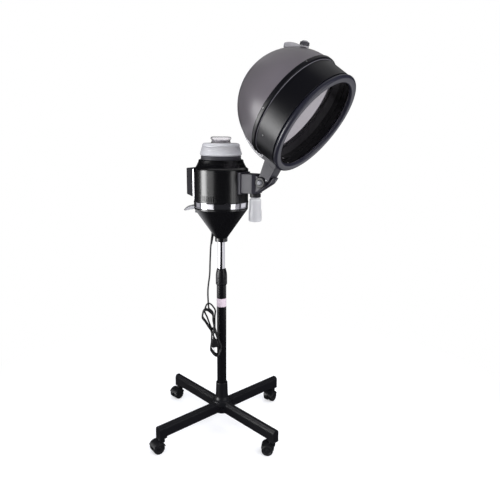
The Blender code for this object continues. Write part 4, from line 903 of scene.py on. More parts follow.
@dataclass
class Caster:
    """Twin-wheel caster: hooded housing and two wheels with hub caps."""

    number: int
    heading: float
    leg_angle: float
    foot_radius: float = 0.283
    wheel_radius: float = 0.021
    wheel_width: float = 0.0165
    trail: float = 0.018
    web_half: float = 0.0045
    fender_inner: float = 0.022
    fender_outer: float = 0.0242
    stem_bottom: float = 0.043
    boss_radius: float = 0.0095
    axle_radius: float = 0.0035

    def place(self) -> Matrix:
        """Return the frame of the swivel: X trails, Z is up."""
        return (AT_COLUMN @ Matrix.Translation(bearing(self.foot_radius, self.leg_angle))
            @ spun(self.heading))

    def housing(self) -> BMesh:
        """Build the web, fender, neck, boss and axle."""
        place = self.place()
        axle = (self.trail, self.wheel_radius)
        half = self.web_half + GAP + self.wheel_width - 0.001
        seam = self.fender_inner + 0.0009
        web = arc(axle, seam, 22, 168, 16) + arc(axle, self.wheel_radius - 0.004, 190, 360, 16)
        fender = arc(axle, self.fender_outer, 20, 170, 30) + arc(axle, self.fender_inner, 170, 20, 30)
        side = self.boss_radius - 0.0002
        boss_bottom = self.stem_bottom + 0.0015
        neck = (arc(axle, seam - 0.0001, 152, 100, 8) + [(side, boss_bottom + 0.0035),
            (-side, boss_bottom + 0.0035), (-side, boss_bottom - 0.01)])
        boss = rod(self.boss_radius, (0.0, 0.0, boss_bottom), (0.0, 0.0, 0.0531), SMALL, 0.0006, place)
        pin = rod(self.axle_radius, (axle[0], -half - 0.0008, axle[1]), (axle[0], half + 0.0008, axle[1]), 24,
            0.0006, place)
        return joined(sheet_of(web, -self.web_half, self.web_half, 0.0004, place), sheet_of(fender, -half,
            half, 0.0007, place), sheet_of(neck, -0.008, 0.008, 0.0008, place), boss, pin)

    def wheel(self, side: Side) -> BMesh:
        """Build one wheel with a tread, a rim and a dished hub cap.

        Args:
            side: Which of the pair.

        Returns:
            The wheel's shape, in place.
        """
        near = self.web_half + GAP
        far = near + self.wheel_width
        rim = self.wheel_radius
        bore = self.axle_radius + GAP
        points = [(bore, far - 0.003), (0.0062, far - 0.003), (0.0066, far - 0.0042), (0.0128, far - 0.0036),
            (0.0142, far - 0.0008), (0.016, far), (rim - 0.003, far), (rim - 0.0006, far - 0.002),
            (rim, far - 0.005), (rim, near + 0.0022), (rim - 0.0008, near), (bore, near)]
        turn = spun(-90.0, "X")
        flip = HERE if side is Side.LEFT else spun(180.0, "X")
        seat = self.place() @ Matrix.Translation((self.trail, 0.0, self.wheel_radius)) @ turn @ flip
        return turned(points, MEDIUM, seat, 0.0008)

    def build(self) -> None:
        """Build the housing and both wheels."""
        number = self.number
        add(self.housing(), f"caster_hood_{number}", f"caster_{number}", BASE_PLASTIC,
            [f"caster_housing_{number}"])
        for side in Side:
            word = side.name.lower()
            add(self.wheel(side), f"wheel_{word}_{number}", f"wheel_{word}_{number}", WHEEL_RUBBER,
                [f"caster_wheel_{word}_{number}"])


# ---- boiler head
@dataclass
class Boiler:
    """Boiler head: cone, band, body shell, shoulder, gasket and what they hold."""

    socket_bottom: float = 0.7355
    socket_top: float = 0.7515
    socket_radius: float = 0.0228
    cone_radius: float = 0.097
    cone_shoulder: float = 0.8575
    rim_top: float = 0.8748
    band_bottom: float = 0.8645
    band_top: float = 0.8855
    band_radius: float = 0.0985
    band_wall: float = 0.0032
    body_radius: float = 0.0972
    body_top: float = 0.9975
    shell_wall: float = 0.0025
    shoulder_top: float = 1.0315
    shoulder_radius: float = 0.0788
    gasket_top: float = 1.0445
    gasket_radius: float = 0.0717
    mast_radius: float = 0.013
    mast_top: float = 0.7735
    slot_count: int = 6
    slot_pitch: float = 4.8
    slot_centres: tuple[float, ...] = (-82.0, 98.0)
    slot_height: float = 0.9005
    seam_bearing: float = -27.5
    gland_hole: float = 0.0059

    def cone(self) -> None:
        """Build the lower housing with the socket for the mast."""
        rim = self.band_radius - self.band_wall - GAP
        inner = rim - 0.003
        mast = self.mast_radius + GAP
        floor = self.mast_top + 0.004
        top = self.band_bottom - GAP
        points = [(rim, self.rim_top), (rim, top), (self.cone_radius, top),
            (self.cone_radius, self.cone_shoulder), (self.socket_radius + 0.001, self.socket_top),
            (self.socket_radius, self.socket_top - 0.002), (self.socket_radius, self.socket_bottom),
            (mast, self.socket_bottom), (mast, self.mast_top + GAP), (0.005, self.mast_top + GAP),
            (0.005, floor), (0.032, floor), (inner, self.cone_shoulder + 0.003), (inner, self.rim_top)]
        cone = turned(points, FINE, soft=0.0016)
        gland = Cord().gland_place()
        hole = rod(self.gland_hole, (0.0, 0.0, 0.02), (0.0, 0.0, 0.075), 24, 0.0, gland)
        add(carved(cone, hole), "boiler_cone", "head", SHELL_BLACK, ["cone_housing"])

    def body(self) -> None:
        """Build the upper shell with its cooling slots and its seam."""
        radius = self.body_radius
        inner = radius - self.shell_wall
        under = self.band_radius - self.band_wall - GAP
        points = [(inner, self.body_top), (radius, self.body_top), (radius, self.band_top + 2 * GAP),
            (under, self.band_top + GAP), (under, self.rim_top + GAP),
            (under - self.shell_wall, self.rim_top + GAP), (under - self.shell_wall, self.band_top),
            (inner, self.band_top + 0.003)]
        shell = turned(points, FINE, soft=0.0007)
        tools = []
        for centre in self.slot_centres:
            for index in range(self.slot_count):
                angle = centre + (index - (self.slot_count - 1) / 2) * self.slot_pitch
                turn = AT_COLUMN @ spun(angle)
                low = (radius - 0.006, -0.0016, self.slot_height - 0.0105)
                high = (radius + 0.006, 0.0016, self.slot_height + 0.0105)
                tools.append(block(low, high, 0.0014, turn, 4))
        seam = AT_COLUMN @ spun(self.seam_bearing)
        tools.append(block((radius - 0.0009, -0.0005, 0.8), (radius + 0.01, 0.0005, 1.10), 0.0, seam))
        add(carved(shell, *tools), "boiler_shell", "head", SHELL_BLACK, ["body_shell"])

    def band(self) -> None:
        """Build the chrome clamping band."""
        low = self.band_bottom
        top = self.band_top
        outer = self.band_radius
        inner = outer - self.band_wall
        lip = 0.0016
        points = [(inner, top), (outer - 0.0007, top), (outer, top - lip), (outer - 0.0003, top - 2 * lip),
            (outer - 0.0016, low + 2 * lip), (outer - 0.0013, low + lip), (outer - 0.0018, low), (inner, low)]
        add(turned(points, FINE, soft=0.0006), "chrome_band", "head", CHROME, ["clamp_band"])

    def shoulder(self) -> None:
        """Build the shoulder cover with its steps, and the gasket on it."""
        seat = self.body_top + GAP
        top = self.shoulder_top
        radius = self.shoulder_radius
        ledge = top - 0.003
        points = [(0.064, top), (radius - 0.0006, top), (radius + 0.0004, top - 0.0016),
            (radius + 0.0015, top - 0.007), (radius + 0.0033, top - 0.0128), (radius + 0.0045, top - 0.0132),
            (radius + 0.0058, top - 0.017), (radius + 0.011, top - 0.026),
            (self.body_radius - 0.0002, seat + 0.0022), (self.body_radius, seat),
            (self.body_radius - 0.004, seat),
            (radius + 0.006, top - 0.026), (radius - 0.002, ledge), (0.064, ledge)]
        add(turned(points, FINE, soft=0.0012), "boiler_shoulder", "head", SHELL_BLACK, ["shoulder_cover"])
        low = top + GAP
        high = self.gasket_top - GAP
        ring = self.gasket_radius
        gasket = [(0.06, high), (ring - 0.001, high), (ring, high - 0.0012), (ring - 0.0012, high - 0.0045),
            (ring, low + 0.004), (ring, low), (0.06, low)]
        add(turned(gasket, FINE, soft=0.0008), "jar_gasket", "head", GASKET_RUBBER, ["neck_gasket"])

    def build(self) -> None:
        """Build every shell and dress the cup and the heater inside them."""
        self.cone()
        self.body()
        self.band()
        self.shoulder()
        dress_node("boiler_cup", STEEL)
        dress_node("heater_ring", STEEL)


@dataclass
class Jar:
    """Translucent water jar with fine ribs, and its clear cap."""

    foot: float = 1.0445
    top: float = 1.0885
    foot_radius: float = 0.074
    head_radius: float = 0.0665
    wall: float = 0.0025
    neck_radius: float = 0.031
    neck_height: float = 0.01
    cap_top: float = 1.1105
    cap_radius: float = 0.0365
    rib_pitch: float = 0.005
    rib_height: float = 0.0005

    def ribs(self, start: Point, end: Point) -> list[Point]:
        """Fine ribs down the jar's side.

        Args:
            start: Upper end of the side.
            end: Lower end of the side.

        Returns:
            Points of the ribbed side.
        """
        count = int((start[1] - end[1]) / self.rib_pitch)
        points = []
        for step in range(count * 4 + 1):
            share = step / (count * 4)
            swell = self.rib_height * cos(step * pi / 2)
            points.append((start[0] + (end[0] - start[0]) * share - self.rib_height + swell, start[1]
                + (end[1] - start[1]) * share))
        return points

    def build(self) -> None:
        """Build the jar and the cap."""
        peak = self.cap_top
        top = self.top
        lip = top + self.neck_height
        inner_neck = self.neck_radius - self.wall
        floor = self.foot + self.wall
        curve = 0.009
        turn = 0.0075
        shoulder = arc((self.head_radius - curve, top - curve), curve, 90, 8, 8)
        side = self.ribs((self.head_radius, top - curve - 0.001),
            (self.foot_radius, self.foot + turn + 0.002))
        outer = ([(inner_neck, lip), (self.neck_radius, lip), (self.neck_radius, top)] + shoulder + side
            + arc((self.foot_radius - turn, self.foot + turn), turn, 0, -90, 8))
        inner = [(0.005, self.foot), (0.005, floor), (self.foot_radius - turn, floor),
            (self.foot_radius - 0.0042, floor + 0.004), (self.head_radius - self.wall - 0.0005, top - 0.01),
            (self.head_radius - 0.01, top - self.wall), (inner_neck, top - self.wall)]
        add(turned(outer + inner, FINE), "water_jar", "jar", MILKY, ["reservoir_jar"], CURVED)
        base = top + GAP
        radius = self.cap_radius
        thread = self.neck_radius + 0.0004
        ring = 0.0056
        cap = ([(0.0, peak - 0.005), (0.024, peak - 0.0048)] + arc((radius - ring, peak - ring), ring, 120,
            -50, 14) + [(radius - 0.0042, peak - 0.0128), (radius - 0.003, base + 0.003),
            (radius - 0.0012, base + 0.0012), (radius - 0.0012, base), (thread, base),
            (thread, peak - 0.0085), (0.0, peak - 0.0085)])
        add(turned(cap, FINE, soft=0.0008), "jar_cap_ring", "jar_cap", CLEAR, ["reservoir_cap"], CURVED)


@dataclass
class Controls:
    """Control box with its plate, timer, rocker and lamp, and the drain tap below."""

    inner: float = 0.1008
    outer: float = 0.133
    half_width: float = 0.032
    top: float = 0.998
    bottom_outer: float = 0.9025
    bottom_inner: float = 0.893
    wall: float = 0.0025
    plate_half: float = 0.036
    plate_bottom: float = 0.8875
    timer: float = 0.9655
    rocker: Point = (0.011, 0.9235)
    lamp: Point = (-0.016, 0.9235)
    body_radius: float = 0.0972
    tap_low: Spot = (-0.113, -0.011, 0.8325)
    tap_high: Spot = (-0.079, 0.011, 0.8637)
    lever_pivot: Point = (-0.1195, 0.8515)
    lever_half: float = 0.0085
    lever_eye: float = 0.006

    def plate(self) -> None:
        """Build the bright mounting plate against the body."""
        slab = block((-self.inner + GAP, -self.plate_half, self.plate_bottom), (-0.088, self.plate_half,
            self.top - 0.002), 0.0007)
        saddle = rod(self.body_radius + GAP, (0.0, 0.0, 0.8), (0.0, 0.0, 1.10), FINE)
        add(carved(slab, saddle), "mounting_plate", "head", PLATE_METAL, ["control_plate"])

    def box(self) -> None:
        """Build the box with its holes, raised face and screws."""
        face = -self.outer
        across, up = self.rocker
        outline = [(face, self.top), (face, self.bottom_outer), (-self.inner, self.bottom_inner),
            (-self.inner, self.top)]
        shell = sheet_of(outline, -self.half_width, self.half_width, 0.0022)
        half = self.half_width - self.wall
        hollow = block((face + self.wall, -half, self.bottom_outer + 0.005), (-self.inner + 0.01, half,
            self.top - self.wall))
        timer = rod(0.0045, (face - 0.01, 0.0, self.timer), (face + 0.01, 0.0, self.timer), 24)
        lamp = rod(0.0033, (face - 0.01, *self.lamp), (face + 0.01, *self.lamp), 24)
        window = block((face - 0.01, across - 0.01, up - 0.0065), (face + 0.01, across + 0.01, up + 0.0065))
        step = sheet_of([(face - 0.01, 0.915), (face + 0.0006, 0.915), (face + 0.0006, 0.9142),
            (face - 0.01, 0.9142)], -0.04, 0.04)
        add(carved(shell, hollow, timer, lamp, window, step), "switch_box", "head", GREY_PLASTIC,
            ["control_box"])
        heads = [ScrewHead(0.0024, 0.0009).shape(self.front(side * 0.0262, height)) for side in (-1, 1)
            for height in (0.9905, 0.9105)]
        add(joined(*heads), "switch_box_screws", "head", STEEL)

    def front(self, side: float, height: float, stand_off: float = 0.0) -> Matrix:
        """Frame on the box's face.

        Args:
            side: Place along Y.
            height: Place along Z.
            stand_off: Distance off the face.

        Returns:
            The frame: Z leaves the face, X points to the reader's right.
        """
        turn = Matrix(((0.0, 0.0, -1.0, 0.0), (-1.0, 0.0, 0.0, 0.0), (0.0, 1.0, 0.0, 0.0),
            (0.0, 0.0, 0.0, 1.0)))
        return at(-self.outer - stand_off, height, side) @ turn

    def lettering(self) -> None:
        """Print minutes and ticks round the timer, and ON and OFF beside the rocker."""
        marks = []
        for minute in range(0, 60, 10):
            angle = radians(90.0 - minute * 5.0)
            place = self.front(-0.0208 * cos(angle), self.timer + 0.0208 * sin(angle), 0.00005)
            marks.append(self.word(str(minute), 0.0046, place))
        for minute in range(0, 60, 5):
            angle = 90.0 - minute * 5.0
            turn = self.front(0.0, self.timer) @ spun(angle)
            marks.append(block((0.0158, -0.00022, -0.0001), (0.0174, 0.00022, 0.0002), 0.0, turn))
        marks.append(self.word("ON", 0.004, self.front(self.rocker[0] - 0.0044, 0.9338, 0.00005)))
        marks.append(self.word("OFF", 0.004, self.front(self.rocker[0] + 0.0052, 0.9338, 0.00005)))
        add(joined(*marks), "dial_print", "head", PRINT_WHITE)

    @staticmethod
    def word(text: str, size: float, place: Matrix) -> BMesh:
        """Raised print of a generic word or number.

        Args:
            text: What it reads.
            size: Height of its letters.
            place: Frame of its middle.

        Returns:
            The print's shape.
        """
        curve = bpy.data.curves.new("print", "FONT")
        curve.body = text
        curve.size = size
        curve.align_x = "CENTER"
        curve.align_y = "CENTER"
        curve.extrude = 0.00012
        holder = placed("print", curve)
        graph = bpy.context.evaluated_depsgraph_get()
        mesh = bpy.data.meshes.new_from_object(holder.evaluated_get(graph))
        shape = bmesh.new()
        shape.from_mesh(mesh)
        bpy.data.objects.remove(holder, do_unlink=True)
        bpy.data.curves.remove(curve)
        bpy.data.meshes.remove(mesh)
        return settled(shape, place)

    def switches(self) -> None:
        """Build the timer knob, the rocker, its bezel and the lamp."""
        knob = [(0.0, 0.015), (0.0118, 0.015), (0.0134, 0.0136), (0.0142, 0.004), (0.015, 0.003),
            (0.015, 0.001), (0.0042, 0.001), (0.0042, -0.008), (0.0, -0.008)]
        place = self.front(0.0, self.timer)
        grip = ring_of((0.0126, -0.0006, 0.004), (0.0146, 0.0006, 0.0138), 0.0004, place, 18)
        pointer = block((-0.0012, 0.002, 0.012), (0.0012, 0.013, 0.0162), 0.0004, place)
        add(joined(turned(knob, MEDIUM, place, 0.0008), pointer, *grip), "timer_grip", "timer", SATIN_BLACK,
            ["timer_knob"])
        line = block((-0.0004, 0.0035, 0.016), (0.0004, 0.0122, 0.0164), 0.0, place)
        add(line, "timer_line", "timer", PRINT_WHITE)
        outline = [(0.003, 0.0), (0.0046, 0.0086), (0.004, 0.0092), (-0.006, 0.004), (-0.006, -0.004),
            (0.0006, -0.0092), (0.0012, -0.0086)]
        pivot = at(-self.outer + 0.001, self.rocker[1], self.rocker[0]) @ spun(180.0) @ spun(90.0, "X")
        add(sheet_of(outline, -0.0055, 0.0055, 0.0005, pivot), "rocker_cap", "rocker", SATIN_BLACK,
            ["power_rocker"])
        frame_low = block((-0.0122, -0.0086, 0.0), (0.0122, 0.0086, 0.0013), 0.0005, self.front(*self.rocker))
        opening = block((-0.0098, -0.0063, -0.002), (0.0098, 0.0063, 0.004), 0.0, self.front(*self.rocker))
        add(carved(frame_low, opening), "rocker_bezel", "head", SATIN_BLACK)
        lens = [(0.0, 0.0024), (0.0022, 0.0021), (0.0036, 0.0012), (0.0042, GAP), (0.003, GAP),
            (0.003, -0.007), (0.0, -0.007)]
        add(turned(lens, SMALL, self.front(*self.lamp), 0.0004), "lamp_lens", "head", RED_LENS,
            ["pilot_lamp"])

    def tap(self) -> None:
        """Build the tap block and the chrome lever."""
        slab = block(self.tap_low, self.tap_high, 0.0022)
        wall = [(0.0, 0.95), (0.111, 0.95), (0.111, 0.8642), (0.0976, 0.8642), (0.0976, 0.8575),
            (0.0244, 0.7515), (0.0, 0.7515)]
        nut = rod(0.006, (-0.0985, -0.0145, 0.845), (-0.0985, -0.0108, 0.845), 6, 0.0006)
        add(joined(carved(slab, turned(wall, FINE)), nut), "tap_block", "head", CAST_BLACK, ["drain_tap"])
        clamp = block((-0.1085, -0.0085, 0.8645), (-0.099, 0.0085, 0.8905), 0.0014)
        screw = ScrewHead(0.003, 0.0016).shape(AT_COLUMN @ facing(Vector((-0.1038, -0.0085, 0.876)),
            Vector((0.0, -1.0, 0.0))))
        add(clamp, "band_clamp_block", "head", SATIN_BLACK)
        add(screw, "band_clamp_screw", "head", STEEL)
        place = at(*self.lever_pivot)
        blade = (arc((0.0, 0.0), self.lever_eye, -80, 90, 16) + [(-0.0126, 0.0045), (-0.022, 0.0016),
            (-0.0306, -0.002), (-0.04, -0.008), (-0.0481, -0.0155), (-0.0446, -0.0165), (-0.022, -0.0108)])
        add(sheet_of(blade, -self.lever_half, self.lever_half, 0.001, place), "lever_blade", "lever", ZINC,
            ["drain_lever"], CURVED)
        cover = [(0.001, 0.0062), (-0.0126, 0.0047), (-0.022, 0.0018), (-0.0306, -0.0018), (-0.04, -0.0078),
            (-0.0476, -0.0148), (-0.0482, -0.0132), (-0.0392, -0.0042), (-0.0296, 0.0022), (-0.021, 0.0056),
            (-0.012, 0.0082), (0.001, 0.0092)]
        add(sheet_of(cover, -self.lever_half, self.lever_half, 0.0004, place), "lever_pad", "lever",
            SATIN_BLACK, (), CURVED)

    def build(self) -> None:
        """Build the plate, the box, its print and switches, and the tap."""
        self.plate()
        self.box()
        self.lettering()
        self.switches()
        self.tap()


@dataclass
class Hinge:
    """Yoke on the boiler, bracket of the hood, and the bolt between them."""

    x: float = 0.1815
    z: float = 0.9625
    bolt_radius: float = 0.005
    knuckle: float = 0.0155
    knuckle_half: float = 0.0205
    cheek_outer: float = 0.0245
    disc_radius: float = 0.0195
    disc_width: float = 0.006
    yoke_half: float = 0.0275
    yoke_back: float = 0.1043
    yoke_bend: float = 0.148
    yoke_front: float = 0.16
    yoke_top: float = 0.988
    yoke_bottom: float = 0.922
    rest_half: float = 0.016
    rest_outline: tuple[Point, ...] = ((0.145, 0.9221), (0.1545, 0.9214), (0.2135, 0.958), (0.227, 0.9773),
        (0.2237, 0.9796), (0.2105, 0.9607), (0.162, 0.9308), (0.145, 0.9308))
    lean: float = 25.5
    body_radius: float = 0.0972
    saddle_radius: float = 0.1895

    def yoke(self) -> None:
        """Build the saddle, the yoke block, its lug and the rest plate."""
        top = self.yoke_top
        low = self.yoke_bottom
        saddle = block((0.086, -0.031, low - 0.005), (self.yoke_back - GAP, 0.031, top + 0.0045), 0.0012)
        bore = rod(self.body_radius + GAP, (0.0, 0.0, 0.89), (0.0, 0.0, 1.02), FINE)
        add(carved(saddle, bore), "yoke_pad", "head", CAST_BLACK, ["yoke_saddle"])
        narrow = self.knuckle_half
        plan = [(self.yoke_back, -self.yoke_half), (self.yoke_bend, -self.yoke_half),
            (self.yoke_front, -narrow), (self.yoke_front, narrow), (self.yoke_bend, self.yoke_half),
            (self.yoke_back, self.yoke_half)]
        upright = at(0.0, (top + low) / 2) @ spun(-90.0, "X")
        half = (top - low) / 2
        body = sheet_of(plan, -half, half, 0.0014, upright)
        inside = self.yoke_front - 0.01
        lug = ([(inside, low + 0.0002), (0.17, low + 0.0125)]
            + arc((self.x, self.z), self.knuckle, -62, 110, 28) + [(inside, top - 0.0015)])
        side = narrow - 0.0001
        eye = sheet_of(lug, -side, side, 0.001)
        plate = sheet_of(soften(self.rest_outline, 0.006, True, 6), -self.rest_half, self.rest_half, 0.0008)
        add(joined(body, eye, plate), "yoke_casting", "head", CAST_BLACK, ["yoke"])
        away = Vector((0.0, 1.0, 0.0))
        heads = [ScrewHead(0.0032, 0.0014, Drive.SOCKET).shape(AT_COLUMN
            @ facing(Vector((0.118, self.yoke_half, height)), away)) for height in (0.935, 0.975)]
        add(joined(*heads), "yoke_screws", "head", STEEL)
        dress_node("stop_bumper", STEEL)

    def bracket_point(self, along: float, side: float) -> Point:
        """Point up the leaning bracket, from the hinge.

        Args:
            along: Distance up the bracket.
            side: Distance to the hood's side.

        Returns:
            The point as (x, z) from the hinge.
        """
        lean = radians(self.lean)
        return (along * sin(lean) + side * cos(lean), along * cos(lean) - side * sin(lean))

    def bracket(self, hood: "Hood") -> None:
        """Build the bracket's bar and its two cheeks.

        Args:
            hood: The hood.
        """
        place = at(self.x, self.z)
        seat = self.saddle_radius + GAP
        back = -0.016
        front = 0.025
        bar = [self.bracket_point(0.0285, back), self.bracket_point(0.031, front), hood.below(0.0235, seat,
            self), hood.below(0.073, seat, self)]
        solid = sheet_of(bar, -self.cheek_outer, self.cheek_outer, 0.0012, place)
        start = 90.0 - self.lean
        cheek = (arc((0.0, 0.0), self.knuckle, start + 75, start + 285, 36)
            + [self.bracket_point(0.018, front - 0.001), self.bracket_point(0.04, front),
            self.bracket_point(0.04, back)])
        cheeks = []
        for side in Side:
            low, high = sorted((side.value * (self.knuckle_half + GAP),
                side.value * (self.cheek_outer - 0.0001)))
            cheeks.append(sheet_of(cheek, low, high, 0.0007, place))
        add(joined(solid, *cheeks), "bracket_casting", "hood", CAST_BLACK, ["hood_bracket"])
        screw = self.bracket_point(0.0165, 0.016)
        spot = facing(Vector((screw[0], -self.cheek_outer, screw[1])), Vector((0.0, -1.0, 0.0)))
        add(ScrewHead(0.0034, 0.0016).shape(place @ spot), "bracket_screw", "hood", STEEL)

    def bolt(self) -> None:
        """Build the friction disc with its rim of teeth, and the bolt."""
        rim = self.disc_radius
        near = self.cheek_outer + GAP
        place = at(self.x, self.z) @ spun(90.0, "X")
        inner = self.bolt_radius + GAP
        disc = [(inner, near + self.disc_width), (rim - 0.003, near + self.disc_width),
            (rim - 0.0008, near + self.disc_width - 0.0016), (rim - 0.0008, near + 0.0002),
            (inner, near + 0.0002)]
        teeth = ring_of((rim - 0.002, -0.0008, near + 0.0006), (rim - 0.0002, 0.0008, near
            + self.disc_width - 0.0016), 0.0003, place, 30)
        add(joined(turned(disc, MEDIUM, place, 0.0008), *teeth), "tension_disc", "hood", SATIN_BLACK,
            ["friction_disc"])
        face = near + GAP + self.disc_width
        shank = self.bolt_radius
        bolt = [(0.0, face + 0.0064), (0.0058, face + 0.0064), (0.0078, face + 0.0052),
            (0.0088, face + 0.003), (0.0098, face + 0.001), (0.0098, face), (shank, face), (shank, -near),
            (0.0088, -near), (0.0088, -near - 0.006), (0.0078, -near - 0.0068), (0.0, -near - 0.0068)]
        add(turned(bolt, MEDIUM, place, 0.0006), "hinge_pin", "hood", ZINC, ["hinge_bolt"])

    def build(self, hood: "Hood") -> None:
        """Build the yoke, the bracket and the bolt.

        Args:
            hood: The hood.
        """
        self.yoke()
        self.bracket(hood)
        self.bolt()


@dataclass
class DripBottle:
    """Small bottle that hangs by its neck under the yoke."""

    x: float = 0.1455
    radius: float = 0.0225
    neck: float = 0.015
    wall: float = 0.0018
    bottom: float = 0.8245
    top: float = 0.908
    cap_radius: float = 0.019
    cap_top: float = 0.9211

    def build(self) -> None:
        """Build the cap with its grip and the bottle."""
        top = self.top
        peak = self.cap_top
        rim = self.cap_radius
        place = at(self.x, 0.0)
        low = top + 0.0005
        inner = self.neck + 0.001
        cap = [(0.0, peak), (rim - 0.0016, peak), (rim - 0.0007, peak - 0.0009), (rim - 0.0007, low),
            (inner, low), (inner, peak - 0.003), (0.0, peak - 0.003)]
        grip = ring_of((rim - 0.0012, -0.0006, low + 0.0004), (rim - 0.0001, 0.0006, peak - 0.0014), 0.0003,
            place, 36)
        add(joined(turned(cap, MEDIUM, place, 0.0005), *grip), "bottle_screw_cap", "head", SATIN_BLACK,
            ["bottle_cap"])
        outer = self.radius
        wall = self.wall
        lip = top + 0.0095
        points = ([(self.neck - wall, lip), (self.neck, lip), (self.neck, top - 0.0015)]
            + arc((outer - 0.0085, top - 0.01), 0.006, 80, 0, 6) + [(outer - 0.002, top - 0.04),
            (outer - 0.0002, top - 0.048)] + arc((outer - 0.005, self.bottom + 0.005), 0.005, 0, -90, 6)
            + [(0.012, self.bottom + 0.001), (0.0005, self.bottom + 0.0016), (0.0005, self.bottom + 0.0016
            + wall), (0.012, self.bottom + 0.0012 + wall)] + arc((outer - 0.0062, self.bottom + 0.0064),
            0.0044, -90, 0, 5) + [(outer - wall - 0.0003, top - 0.049), (outer - wall - 0.0022, top - 0.04),
            (outer - wall - 0.0026, top - 0.011), (self.neck - wall, top - 0.005)])
        add(turned(points, MEDIUM, place), "condensate_bottle", "bottle", MILKY, ["drip_bottle"], CURVED)


